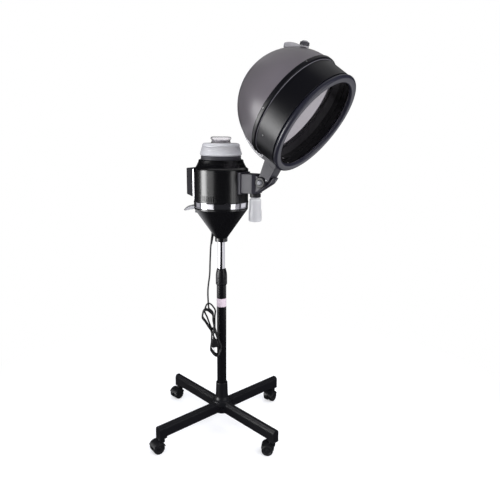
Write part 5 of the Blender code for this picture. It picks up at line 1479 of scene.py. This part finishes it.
# ---- hood
@dataclass
class Hood:
    """Hood turned round its own axis: lip, band, ring, smoked dome, duct, scoop and knob."""

    x: float = 0.365
    z: float = 1.1505
    tilt: float = 35.5
    lip_radius: float = 0.178
    lip_inner: float = 0.152
    lip_roll: float = 0.008
    lip_front: float = 0.0015
    sleeve: float = 0.1708
    sleeve_wall: float = 0.0043
    sleeve_depth: float = 0.056
    sleeve_ridge: float = 0.038
    band_radius: float = 0.1755
    band_wall: float = 0.004
    band_start: float = 0.012
    ring_start: float = 0.0855
    ring_end: float = 0.1
    ring_radius: float = 0.1818
    ring_bore: float = 0.169
    ring_shelf: float = 0.0045
    dome_centre: float = 0.0995
    dome_radius: float = 0.1775
    dome_wall: float = 0.0025
    saddle_radius: float = 0.1895
    saddle_half: float = 0.03
    duct_radius: float = 0.1965
    duct_half: float = 0.018
    duct_from: float = 184.3
    duct_to: float = 128.0
    knob_polar: float = 65.0
    scoop_turn: float = 20.0
    scoop_size: Spot = (0.034, 0.022, 0.014)
    vent_angle: float = 11.5
    vent_radius: float = 0.01
    stud: float = 0.0036
    ring_screws: tuple[float, ...] = (-33.0, -93.0, -153.0, 147.0, 87.0, 27.0)
    ring_screw_depth: float = 0.0936
    band_screws: tuple[float, ...] = (-118.0, 118.0)
    band_screw_depth: float = 0.0615
    sleeve_screws: tuple[float, ...] = (169.0, -169.0)
    sleeve_screw_depths: tuple[float, ...] = (0.02, 0.044)

    def place(self) -> Matrix:
        """Return the hood's frame: Z runs from the opening into the dome."""
        return at(self.x, self.z) @ spun(self.tilt - 90.0, "Y")

    def below(self, depth: float, radius: float, hinge: Hinge) -> Point:
        """Point below the hood's axis.

        Args:
            depth: Depth behind the opening.
            radius: Distance from the axis.
            hinge: The hinge.

        Returns:
            The point as (x, z) from the hinge.
        """
        tilt = radians(self.tilt)
        across = self.x - depth * cos(tilt) - radius * sin(tilt) - hinge.x
        height = self.z + depth * sin(tilt) - radius * cos(tilt) - hinge.z
        return (across, height)

    def rim(self) -> None:
        """Build the rolled lip with its sleeve, the band and the ring."""
        low = self.ring_start
        place = self.place()
        inner = self.sleeve - self.sleeve_wall
        seam = self.lip_front + 0.014
        lip = (arc((self.lip_radius - self.lip_roll, self.lip_front), self.lip_roll, 75, -90, 14)
            + arc((self.lip_inner + self.lip_roll, self.lip_front), self.lip_roll, -90, -220, 12)
            + [(inner, seam), (self.sleeve - 0.0002, seam), (self.sleeve - 0.0002, self.band_start - GAP)])
        # The lip's lighter, bluish black is painted sheen.
        add(turned(lip, FINE, place, 0.001), "rolled_lip", "hood", LIP_BLACK_PAINTED_SHEEN, ["hood_lip"], ROLLED)
        ridge = self.sleeve_ridge
        sleeve = [(inner + 0.0005, seam + 0.0002), (inner, seam + 0.0007), (inner, ridge - 0.0011),
            (inner - 0.0009, ridge - 0.0003), (inner - 0.0009, ridge + 0.0003), (inner, ridge + 0.0011),
            (inner, self.sleeve_depth), (self.sleeve, self.sleeve_depth), (self.sleeve, seam + 0.0002)]
        # The sleeve's darker black is painted shade inside the hood.
        add(turned(sleeve, FINE, place, 0.0005), "inner_sleeve", "hood", SLEEVE_BLACK_PAINTED_SHADE, (), ROLLED)
        bore = self.band_radius - self.band_wall
        end = low - GAP
        band = [(bore, end), (self.band_radius, end), (self.band_radius, self.band_start),
            (bore, self.band_start)]
        add(turned(band, FINE, place, 0.0008), "hood_drum", "hood", SATIN_BLACK, ["hood_band"])
        # Thin pale bead at the band's end: a painted highlight line along the edge where band and ring meet.
        painted_highlight_radius = self.band_radius + 0.0001
        painted_highlight_bead = [(painted_highlight_radius, end - 0.0016)] + arc((painted_highlight_radius, end - 0.0008), 0.0009, -70, 90, 8) + [(painted_highlight_radius, end)]
        add(turned(painted_highlight_bead, FINE, place), "drum_painted_highlight_bead", "hood", PAINTED_HIGHLIGHT_GREY)
        shelf = low + self.ring_shelf
        seat = self.dome_radius + GAP
        radius = self.ring_radius
        ring = [(seat, self.ring_end), (radius - 0.0022, self.ring_end), (radius, self.ring_end - 0.0024),
            (radius, low + 0.0022), (radius - 0.0008, low + 0.0004), (radius - 0.0018, low),
            (self.ring_bore, low), (self.ring_bore, shelf), (seat, shelf)]
        add(turned(ring, FINE, place, 0.0008), "retaining_ring", "hood", SATIN_BLACK, ["hood_ring"])

    def dome(self) -> None:
        """Build the smoked dome with its two holes, and the moulding gate on its top."""
        place = self.place()
        rim = self.ring_start + self.ring_shelf + GAP
        centre = (0.0, self.dome_centre)
        inner_radius = self.dome_radius - self.dome_wall
        start = in_degrees(asin((rim - self.dome_centre) / self.dome_radius))
        inner_start = in_degrees(asin((rim - self.dome_centre) / inner_radius))
        outer = arc(centre, self.dome_radius, 90, start, 44)
        inner = arc(centre, inner_radius, inner_start, 90, 44)
        outer[0] = (0.0, outer[0][1])
        inner[-1] = (0.0, inner[-1][1])
        dome = turned(outer + inner, FINE, HERE)
        middle = Vector((0.0, 0.0, self.dome_centre))
        tools = []
        for radius, turn in ((self.stud + GAP, 0.0), (self.vent_radius, self.vent_angle)):
            axis = self.axis(turn)
            tools.append(rod(radius, middle + axis * (self.dome_radius - 0.02), middle
                + axis * (self.dome_radius + 0.02), SMALL, 0.0, HERE))
        add(settled(carved(dome, *tools), place), "smoked_dome", "hood", SMOKED, ["hood_dome"], CURVED)
        top = self.dome_centre + self.dome_radius
        gate = [(0.0, top + 0.002), (0.007, top + 0.0017), (0.0095, top + 0.0001), (0.0095, top - 0.0008),
            (0.0, top - 0.0008)]
        add(turned(gate, SMALL, place, 0.0005), "dome_gate_plug", "hood", SATIN_BLACK)

    def axis(self, degrees: float) -> Vector:
        """Direction from the dome's centre.

        Args:
            degrees: Angle from the knob, under the scoop.

        Returns:
            The unit direction.
        """
        polar = radians(self.knob_polar)
        turn = radians(self.scoop_turn)
        knob = Vector((sin(polar), 0.0, cos(polar)))
        towards_top = Vector((-cos(polar), 0.0, sin(polar)))
        scoop = towards_top * cos(turn) + Vector((0.0, -1.0, 0.0)) * sin(turn)
        angle = radians(degrees)
        return knob * cos(angle) + scoop * sin(angle)

    def saddle(self) -> None:
        """Build the saddle on the band and its screws, inside and out."""
        place = self.place()
        slab = block((-self.saddle_radius, -self.saddle_half, 0.022), (-0.165, self.saddle_half, 0.084),
            0.0016, place)
        core = rod(self.band_radius + GAP, (0.0, 0.0, 0.0), (0.0, 0.0, 0.2), 2 * FINE, 0.0, place)
        add(carved(slab, core), "band_saddle", "hood", CAST_BLACK, ["hood_saddle"])
        screws = []
        for angles, radius, depth, height in (
                (self.ring_screws, self.ring_radius, self.ring_screw_depth, 0.001),
                (self.band_screws, self.band_radius, self.band_screw_depth, 0.0011)):
            for angle in angles:
                seat = facing(bearing(radius, angle, depth), bearing(1.0, angle), angle)
                screws.append(ScrewHead(0.0026, height).shape(place @ seat))
        inner = self.sleeve - self.sleeve_wall
        for angle in self.sleeve_screws:
            for depth in self.sleeve_screw_depths:
                spot = bearing(inner, angle, depth)
                screws.append(ScrewHead(0.0034, 0.0012).shape(place @ facing(spot, -bearing(1.0, angle))))
        add(joined(*screws), "hood_screws", "hood", STEEL)

    def duct(self) -> None:
        """Build the clear duct as a hollow channel that hugs the dome's back."""
        half = self.duct_half
        place = self.place()
        centre = (0.0, self.dome_centre)
        ledge = self.ring_radius + 0.002
        outer = arc(centre, self.duct_radius, self.duct_from, self.duct_to, 40)
        inner = (arc(centre, self.dome_radius + 0.0008, self.duct_to - 4.0, 174, 32) + arc(centre, ledge, 176,
            self.duct_from, 6))
        shell = sheet_of(outer + inner, -half, half, 0.002, place)
        core = ([(0.0, 0.3)] + arc(centre, self.dome_radius + 0.0006, 90, 2, 60)
            + [(self.ring_radius + 0.0005, self.ring_end + 0.004), (self.ring_radius + 0.0005, 0.08),
            (0.0, 0.08)])
        bore = sheet_of(arc(centre, self.duct_radius - 0.0024, self.duct_from - 3.0, self.duct_to + 3.0, 40)
            + arc(centre, self.dome_radius - 0.004, self.duct_to + 3.0, self.duct_from - 3.0, 40), -half
            + 0.0024, half - 0.0024, 0.0, place)
        add(carved(shell, turned(core, FINE, place), bore), "clear_duct", "hood", DUCT_CLEAR, ["steam_duct"],
            CURVED)

    def scoop(self) -> None:
        """Build the pale scoop over the vent, and the knob that clamps it."""
        foot = Vector((0.0, 0.0, self.dome_centre)) + self.axis(0.0) * self.dome_radius
        place = self.place() @ Matrix.Translation(foot) @ spun(self.knob_polar, "Y")
        bulb = bmesh.new()
        bmesh.ops.create_uvsphere(bulb, u_segments=48, v_segments=28, radius=1.0)
        lie = (spun(180.0 + self.scoop_turn) @ Matrix.Translation((self.scoop_size[0] - 0.001, 0.0, -0.0045))
            @ spun(-5.0, "Y") @ Matrix.Diagonal((*self.scoop_size, 1.0)))
        seat = 0.0045
        bulb = carved(settled(bulb, lie), rod(0.0162, (0.0, 0.0, seat), (0.0, 0.0, 0.03), MEDIUM, 0.0, HERE))
        end = 2 * self.scoop_size[0] - 0.0062
        blunt = spun(180.0 + self.scoop_turn) @ Matrix.Translation((end, 0.0, 0.0))
        mouth = block((0.0, -0.03, -0.03), (0.02, 0.03, 0.03), 0.0, blunt)
        throat = block((-0.008, -0.0085, -0.004), (0.02, 0.0085, 0.001), 0.0018, blunt)
        bulb = carved(bulb, mouth, throat)
        eye = turned([(self.stud + GAP, seat), (0.015, seat), (0.015, 0.0008), (self.stud + GAP, 0.0008)],
            MEDIUM, HERE, 0.0008)
        skin = self.dome_radius + 0.0005
        ball = [(0.0, 0.0005)] + arc((0.0, -self.dome_radius), skin, 89, 20, 60) + [(0.0, -0.12)]
        bulb = carved(bulb, turned(ball, FINE, HERE), rod(self.stud + GAP, (0.0, 0.0, -0.02),
            (0.0, 0.0, 0.02), 24, 0.0, HERE))
        add(settled(joined(bulb, eye), place), "vent_shell", "vent", SCOOP_PLASTIC, ["vent_scoop"], CURVED)
        knob = [(0.0, 0.0172), (0.01, 0.017), (0.0118, 0.0162), (0.0126, 0.0152), (0.0138, 0.013),
            (0.0144, 0.008), (0.014, 0.0058), (0.012, 0.0049), (self.stud, 0.0048), (self.stud, -0.006),
            (0.0, -0.006)]
        grip = [rod(0.0015, bearing(0.0138, step * 30.0, 0.006), bearing(0.0128, step * 30.0, 0.0158), 10,
            0.0004, place) for step in range(12)]
        add(joined(turned(knob, MEDIUM, place, 0.0006), *grip), "vent_clamp_knob", "vent_clamp", KNOB_PLASTIC,
            ["vent_knob"], CURVED)
        cap = [(0.0, 0.0206), (0.0052, 0.0203), (0.0086, 0.0192), (0.0102, 0.0174), (0.0102, 0.0169),
            (0.0, 0.0169)]
        add(turned(cap, MEDIUM, place, 0.0004), "vent_knob_cap", "vent_clamp", SCOOP_PLASTIC)

    def build(self) -> None:
        """Build every part of the hood."""
        self.rim()
        self.dome()
        self.saddle()
        self.duct()
        self.scoop()


# ---- cord
@dataclass
class Cord:
    """Mains cord: strain relief, drop, tied hank and plug, as it hangs beside the column.

    Places are given across and in front of the column, as the hank faces, and by height.
    """

    radius: float = 0.003
    turn: float = 36.0
    gland_radius: float = 0.0056
    gland_tip: float = 0.004
    gland_top: Spot = (-0.0283, -0.0055, 0.7815)
    gland_end: Spot = (-0.0372, 0.002, 0.7245)
    drop_route: tuple[Spot, ...] = ((-0.0417, 0.008, 0.656), (-0.0434, 0.011, 0.6125),
        (-0.0484, 0.016, 0.574), (-0.0504, 0.0195, 0.55), (-0.05, 0.0235, 0.522))
    loops: float = 4.2
    step: float = 0.0074
    centre: Spot = (-0.0307, 0.044, 0.405)
    upper: float = 0.0893
    lower: float = 0.0997
    rise: float = 0.0155
    start: float = 0.085
    half_width: float = 0.0215
    waist: float = 0.0062
    lean_upper: float = 19.0
    lean_lower: float = 8.0
    lean_loose: float = 9.6
    loose_turns: float = 1.0
    loop_points: int = 24
    plug_top: Spot = (-0.0285, 0.074, 0.39)
    plug_lean: float = 8.0
    plug_half: tuple[float, float] = (0.0125, 0.008)
    plug_length: float = 0.03
    sleeve_length: float = 0.008
    blade_pitch: float = 0.0127

    def hang(self, side: float, front: float, height: float) -> Vector:
        """Return the world point across, in front of and up the column."""
        angle = radians(self.turn)
        right = Vector((cos(angle), sin(angle), 0.0))
        near = Vector((sin(angle), -cos(angle), 0.0))
        return COLUMN + right * side + near * front + Vector((0.0, 0.0, height))

    def way(self, side: float, front: float, up: float) -> Vector:
        """Return a direction across, in front of and up the column."""
        return self.hang(side, front, up) - self.hang(0.0, 0.0, 0.0)

    def gland_place(self) -> Matrix:
        """Return the frame of the strain relief: Z runs up it, from its tip."""
        top = self.hang(*self.gland_top)
        end = self.hang(*self.gland_end)
        return facing(end, (top - end).normalized())

    @staticmethod
    def ease(share: float) -> float:
        """Return a smooth step from 0 to 1."""
        share = min(1.0, max(0.0, share))
        return share * share * (3.0 - 2.0 * share)

    def loop_point(self, turns: float) -> Vector:
        """Centre of the cord after a number of turns of the hank.

        Args:
            turns: Turns from the top.

        Returns:
            The point.
        """
        angle = pi / 2 - 2 * pi * turns
        rise = sin(angle)
        bend = 0.66
        if abs(rise) > bend:
            across = 0.98 * self.half_width * cos(angle) / cos(asin(bend))
        else:
            pinch = self.waist / self.half_width
            swell = pinch + (1.0 - pinch) * min(1.0, abs(rise) * 1.5) ** 1.3
            across = self.half_width * swell * cos(angle)
        loose = self.ease((0.5 - abs(turns - self.loose_turns)) * 3.0)
        upper = self.upper + self.rise * loose
        along = rise * (upper if rise > 0.0 else self.lower)
        above = self.lean_upper + (self.lean_loose - self.lean_upper) * loose
        lean = radians(self.lean_lower + (above - self.lean_lower) * self.ease((rise + 0.3) / 0.6))
        side = across * cos(lean) - along * sin(lean)
        height = across * sin(lean) + along * cos(lean)
        front = (turns - self.loops / 2) * self.step
        return self.hang(self.centre[0] + side, self.centre[1] + front, self.centre[2] + height)

    @staticmethod
    def smooth(points: Sequence[Vector], spacing: float) -> list[Vector]:
        """Evenly spaced points on a smooth curve through a route.

        Args:
            points: Points of the route.
            spacing: Distance between points.

        Returns:
            The points.
        """
        padded = [points[0] * 2 - points[1], *points, points[-1] * 2 - points[-2]]
        fine = []
        for index in range(len(points) - 1):
            before, first, last, after = padded[index:index + 4]
            for step in range(24):
                t = step / 24
                fine.append(0.5 * (first * 2 + (last - before) * t + (before * 2 - first * 5
                    + last * 4 - after) * t * t + (first * 3 - before - last * 3 + after) * t * t * t))
        fine.append(points[-1])
        lengths = [0.0]
        for first, last in zip(fine, fine[1:]):
            lengths.append(lengths[-1] + (last - first).length)
        count = max(2, round(lengths[-1] / spacing))
        result = []
        low = 0
        for step in range(count + 1):
            target = lengths[-1] * step / count
            while low < len(fine) - 2 and lengths[low + 1] < target:
                low += 1
            share = (target - lengths[low]) / max(lengths[low + 1] - lengths[low], 1e-9)
            result.append(fine[low].lerp(fine[low + 1], min(1.0, share)))
        return result

    def plug_axis(self) -> Vector:
        """Return the direction from the plug's blades to its cord."""
        lean = radians(self.plug_lean)
        return self.way(-sin(lean), 0.0, cos(lean)).normalized()

    def route(self) -> list[Vector]:
        """Lay out the cord's centreline.

        Returns:
            Its points, from the strain relief to the plug.
        """
        top = self.hang(*self.gland_top)
        end = self.hang(*self.gland_end)
        gland_axis = (top - end).normalized()
        steps = round((self.loops - self.start) * self.loop_points)
        loops = [self.loop_point(self.start + step / self.loop_points) for step in range(steps + 1)]
        first = (loops[0] - loops[1]).normalized()
        entry = self.hang(*self.plug_top)
        axis = self.plug_axis()
        straight = 2 * self.radius
        tail = [entry + axis * (straight + 0.006), entry + axis * straight, entry + axis * GAP]
        drop = [end - gland_axis * GAP, end - gland_axis * 0.012,
            *[self.hang(*spot) for spot in self.drop_route], loops[0] + first * 0.008]
        return self.smooth([*drop, *loops, *tail], 0.004)

    def cord(self) -> None:
        points = self.route()
        curve = bpy.data.curves.new("mains_cord", "CURVE")
        curve.dimensions = "3D"
        curve.bevel_depth = self.radius
        curve.bevel_resolution = 4
        curve.use_fill_caps = True
        curve.resolution_u = 2
        spline = curve.splines.new("POLY")
        spline.points.add(len(points) - 1)
        for point, spot in zip(spline.points, points):
            point.co = (*spot, 1.0)
        spline.use_smooth = True
        curve.materials.append(CORD_RUBBER.material())
        piece = placed("mains_cord", curve)
        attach(piece, "head")
        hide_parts("cord_drop", "cord_hank")

    def gland(self) -> Object:
        """Build the ribbed strain relief.

        Returns:
            The piece.
        """
        wide = self.gland_radius
        top = self.hang(*self.gland_top)
        end = self.hang(*self.gland_end)
        length = (top - end).length
        inner = self.radius + 0.00015
        points = [(inner, length), (wide, length), (wide, length - 0.016)]
        ribs = 9
        for step in range(ribs):
            share = step / ribs
            height = (length - 0.017) * (1.0 - share)
            radius = wide + (self.gland_tip - wide) * share
            points += [(radius, height), (radius - 0.0001, height - 0.0022),
                (radius - 0.0009, height - 0.0025), (radius - 0.001, height - 0.0038)]
        points += [(self.gland_tip - 0.0001, 0.0004), (inner + 0.0001, 0.0), (inner, 0.0004)]
        return add(turned(points, SMALL, self.gland_place(), 0.0003), "strain_relief", "head", CORD_RUBBER,
            ["cord_gland"], CURVED)

    def plug(self) -> tuple[Object, Object]:
        """Build the plug with its waist and sleeve, and its blades.

        Returns:
            The moulding and the blades.
        """
        axis = self.plug_axis()
        across = axis.cross(self.way(0.0, 1.0, 0.0)).normalized()
        front = axis.cross(across).normalized()
        place = (Matrix.Translation(self.hang(*self.plug_top))
            @ Matrix((across, front, axis)).transposed().to_4x4())
        top = -self.sleeve_length
        bottom = top - self.plug_length
        half, depth = self.plug_half
        outline = [(-half, bottom), (half, bottom), (half, top - 0.016), (half - 0.0028, top - 0.008),
            (half - 0.003, top - 0.004), (half - 0.0048, top), (-half + 0.0048, top),
            (-half + 0.003, top - 0.004), (-half + 0.0028, top - 0.008), (-half, top - 0.016)]
        body = sheet_of(outline, -depth, depth, 0.0026, place, 5)
        inner = self.radius + 0.0001
        sleeve = [(inner, -0.0002), (0.0046, -0.0002), (0.0049, -0.003), (0.0044, -0.0034), (0.005, -0.0062),
            (0.005, top - 0.002), (inner, top - 0.002)]
        piece = add(joined(body, turned(sleeve, SMALL, place, 0.0004)), "plug_moulding", "head", CORD_RUBBER,
            ["plug"], CURVED)
        blades = []
        for side in (-1, 1):
            middle = side * self.blade_pitch / 2
            blades.append(block((middle - 0.00075, -0.00315, bottom - 0.016), (middle + 0.00075, 0.00315,
                bottom + 0.001), 0.0003, place))
        blade = add(joined(*blades), "plug_blades", "head", STEEL)
        return piece, blade

    def tie(self) -> Object:
        """Build the band that ties the hank at its waist.

        Returns:
            The piece.
        """
        middle = self.hang(*self.centre)
        lean = radians((self.lean_upper + self.lean_lower) / 2)
        along = self.way(-sin(lean), 0.0, cos(lean)).normalized()
        near = self.way(0.0, 1.0, 0.0).normalized()
        across = near.cross(along).normalized()
        place = Matrix.Translation(middle) @ Matrix((across, near, along)).transposed().to_4x4()
        half_across = self.waist + self.radius + 0.0012
        half_front = self.loops / 2 * self.step + self.radius + 0.001
        band = [(half_across, 0.0055), (half_across + 0.0009, 0.005), (half_across + 0.0009, -0.005),
            (half_across, -0.0055)]
        shape = turned(band, MEDIUM, HERE, 0.0003)
        stretch = Matrix.Diagonal((1.0, half_front / half_across, 1.0, 1.0))
        return add(settled(shape, place @ stretch), "hank_tie", "head", CORD_RUBBER)

    def build(self) -> None:
        """Build the strain relief, the plug, the tie and the cord."""
        gland = self.gland()
        plug, blades = self.plug()
        tie = self.tie()
        self.cord()


# ---- studio
@dataclass(frozen=True)
class SoftBox:
    """Broad lamp that faces the machine; clear plastic never shows it.

    Attributes:
        name: Its name.
        degrees: Bearing from the machine, counted from the camera's.
        height: Height of its middle.
        distance: Distance from the machine.
        size: Width and height.
        power: Watts.
        diffuse: Whether it lights dull surfaces.
        glossy: Whether it shows in gloss.
    """

    name: str
    degrees: float
    height: float
    distance: float
    size: tuple[float, float]
    power: float
    diffuse: bool = True
    glossy: bool = True

    def hang(self, front: float) -> None:
        """Make the lamp.

        Args:
            front: The camera's bearing, from +X.
        """
        data = bpy.data.lights.new(self.name, "AREA")
        data.shape = "RECTANGLE"
        data.size, data.size_y = self.size
        data.energy = self.power
        lamp = placed(self.name, data)
        lamp.location = bearing(self.distance, front + self.degrees, self.height)
        lamp.rotation_euler = (lamp.location - LIT_POINT).to_track_quat("Z", "Y").to_euler()
        lamp.visible_transmission = False
        lamp.visible_diffuse = self.diffuse
        lamp.visible_glossy = self.glossy


LIT_POINT = Vector((0.0, 0.0, 0.75))
SOFT_BOXES = (
    SoftBox("left_box", -78.0, 0.66, 1.9, (0.8, 1.5), 30.0, diffuse=False),
    SoftBox("left_wall", -62.0, 0.5, 2.5, (2.8, 1.9), 22.0),
    SoftBox("right_box", 52.0, 0.85, 2.1, (0.8, 1.9), 8.0),
    SoftBox("front_fill", 16.0, 2.1, 2.4, (1.8, 1.4), 30.0, glossy=False),
    SoftBox("side_fill", 80.0, 1.6, 2.4, (1.8, 1.4), 16.0, glossy=False),
    SoftBox("back_box", 165.0, 2.9, 1.2, (2.6, 2.6), 8.0))


@dataclass
class Studio:
    """Camera, soft boxes, pale floor and white surround."""

    bearing: float = 36.0
    distance: float = 1.88
    height: float = 1.1365
    pitch: float = 13.0
    roll: float = 0.51
    yaw: float = 3.22
    focal_pixels: float = 523.0
    image_pixels: float = 500.0

    def camera(self) -> None:
        """Set the camera where the photograph was taken from."""
        data = bpy.data.cameras.new("camera")
        data.sensor_width = 36.0
        data.lens = self.focal_pixels / self.image_pixels * data.sensor_width
        data.clip_end = 60.0
        eye = placed("camera", data)
        angle = radians(self.bearing)
        stand = COLUMN + Vector((sin(angle), -cos(angle), 0.0)) * self.distance
        stand.z = self.height
        eye.matrix_world = (Matrix.Translation(stand) @ spun(self.bearing - self.yaw)
            @ spun(90.0 - self.pitch, "X") @ spun(self.roll))
        bpy.context.scene.camera = eye

    def lights(self) -> None:
        """Hang the soft boxes round the machine, all facing it."""
        for box in SOFT_BOXES:
            box.hang(self.bearing - 90.0)

    def world(self) -> None:
        """Set the surround: white to the camera and through clear plastic, dim to gloss."""
        world = bpy.data.worlds.new("studio")
        world.use_nodes = True
        tree = world.node_tree
        tree.nodes.clear()
        path = wired(tree, "LightPath")
        level = wired(tree, "MapRange", {"Value": path["Is Diffuse Ray"], "To Min": 0.012, "To Max": 0.85})
        dim = wired(tree, "Background", {"Color": (0.9, 0.92, 1.0, 1.0), "Strength": level["Result"]})
        white = wired(tree, "Background", {"Color": (1.0, 1.0, 1.0, 1.0), "Strength": 1.0})
        mix = wired(tree, "MixShader", {"Fac": self.in_view(tree, path), 1: dim[0], 2: white[0]})
        wired(tree, "OutputWorld", {"Surface": mix[0]})
        bpy.context.scene.world = world

    @staticmethod
    def in_view(tree: NodeTree, path: bpy_prop_collection) -> NodeSocket:
        """Return the socket that is 1 for what the camera sees, straight or through clear plastic."""
        return wired(tree, "Math", {0: path["Is Camera Ray"], 1: path["Is Transmission Ray"]},
            operation="MAXIMUM")[0]

    def mirrored(self, tree: NodeTree, where: NodeSocket) -> NodeSocket:
        """Floor as gloss sees it: dark, with two bright pools.

        Args:
            tree: The floor's nodes.
            where: Object coordinates.

        Returns:
            The emission's socket.
        """
        front = self.bearing - 90.0
        pools = []
        for centre, start, end, level in ((COLUMN + bearing(2.4, front - 125.0), 0.9, 2.0, 1.0),
                (COLUMN + bearing(3.0, front + 105.0), 1.2, 2.2, 0.95)):
            away = wired(tree, "VectorMath", {0: where, 1: centre}, operation="DISTANCE")["Value"]
            pools.append(wired(tree, "MapRange", {"Value": away, "From Min": end, "From Max": start,
                "To Max": level}, interpolation_type="SMOOTHSTEP")[0])
        brightest = wired(tree, "Math", dict(enumerate(pools)), operation="MAXIMUM")[0]
        shine = wired(tree, "Mix", {"Factor": brightest, "A": (0.024, 0.024, 0.027, 1.0),
            "B": (0.88, 0.88, 0.92, 1.0)}, data_type="RGBA")["Result"]
        return wired(tree, "Emission", {"Color": shine})[0]

    def floor(self) -> None:
        """Lay the pale floor; it keeps a soft shadow near the machine and fades to white."""
        shape = bmesh.new()
        bmesh.ops.create_circle(shape, cap_ends=True, segments=96, radius=9.0)
        mesh = bpy.data.meshes.new("floor")
        shape.to_mesh(mesh)
        shape.free()
        floor = placed("floor", mesh)
        material = bpy.data.materials.new("floor")
        material.use_nodes = True
        tree = material.node_tree
        shader = tree.nodes["Principled BSDF"]
        feed(tree, shader, {"Roughness": 0.9, "Specular IOR Level": 0.0,
            "Base Color": (0.78, 0.78, 0.78, 1.0)})
        where = wired(tree, "TexCoord")["Object"]
        path = wired(tree, "LightPath")
        bounce = wired(tree, "BsdfDiffuse", {"Color": (0.62, 0.62, 0.64, 1.0)})[0]
        unseen = wired(tree, "MixShader", {"Fac": path["Is Glossy Ray"], 1: bounce,
            2: self.mirrored(tree, where)})[0]
        reach = wired(tree, "VectorMath", {0: where}, operation="LENGTH")["Value"]
        fade = wired(tree, "MapRange", {"Value": reach, "From Min": 0.45, "From Max": 1.30},
            interpolation_type="SMOOTHSTEP")["Result"]
        lift = wired(tree, "Emission", {"Strength": 0.38})[0]
        near = wired(tree, "AddShader", {0: shader.outputs[0], 1: lift})[0]
        far = wired(tree, "MixShader", {"Fac": fade, 1: near, 2: wired(tree, "Emission")[0]})[0]
        whole = wired(tree, "MixShader", {"Fac": self.in_view(tree, path), 1: unseen, 2: far})[0]
        feed(tree, tree.nodes["Material Output"], {"Surface": whole})
        mesh.materials.append(material)

    def build(self) -> None:
        """Set up the camera, the lights, the world and the floor."""
        self.camera()
        self.lights()
        self.world()
        self.floor()
        bpy.context.scene.view_settings.view_transform = "Standard"


def main() -> None:
    """Build the sub-assemblies in order, from the camera and the cord to the hood."""
    logging.basicConfig(level=logging.INFO, format="%(message)s")
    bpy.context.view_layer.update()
    Studio().build()
    Cord().build()
    base = StarBase()
    base.build()
    Mast().build()
    for number, (angle, heading) in enumerate(zip(base.leg_angles, CASTER_HEADINGS), start=1):
        Caster(number, heading, angle).build()
    Boiler().build()
    Jar().build()
    Controls().build()
    hood = Hood()
    Hinge().build(hood)
    DripBottle().build()
    hood.build()


if __name__ == "__main__":
    main()
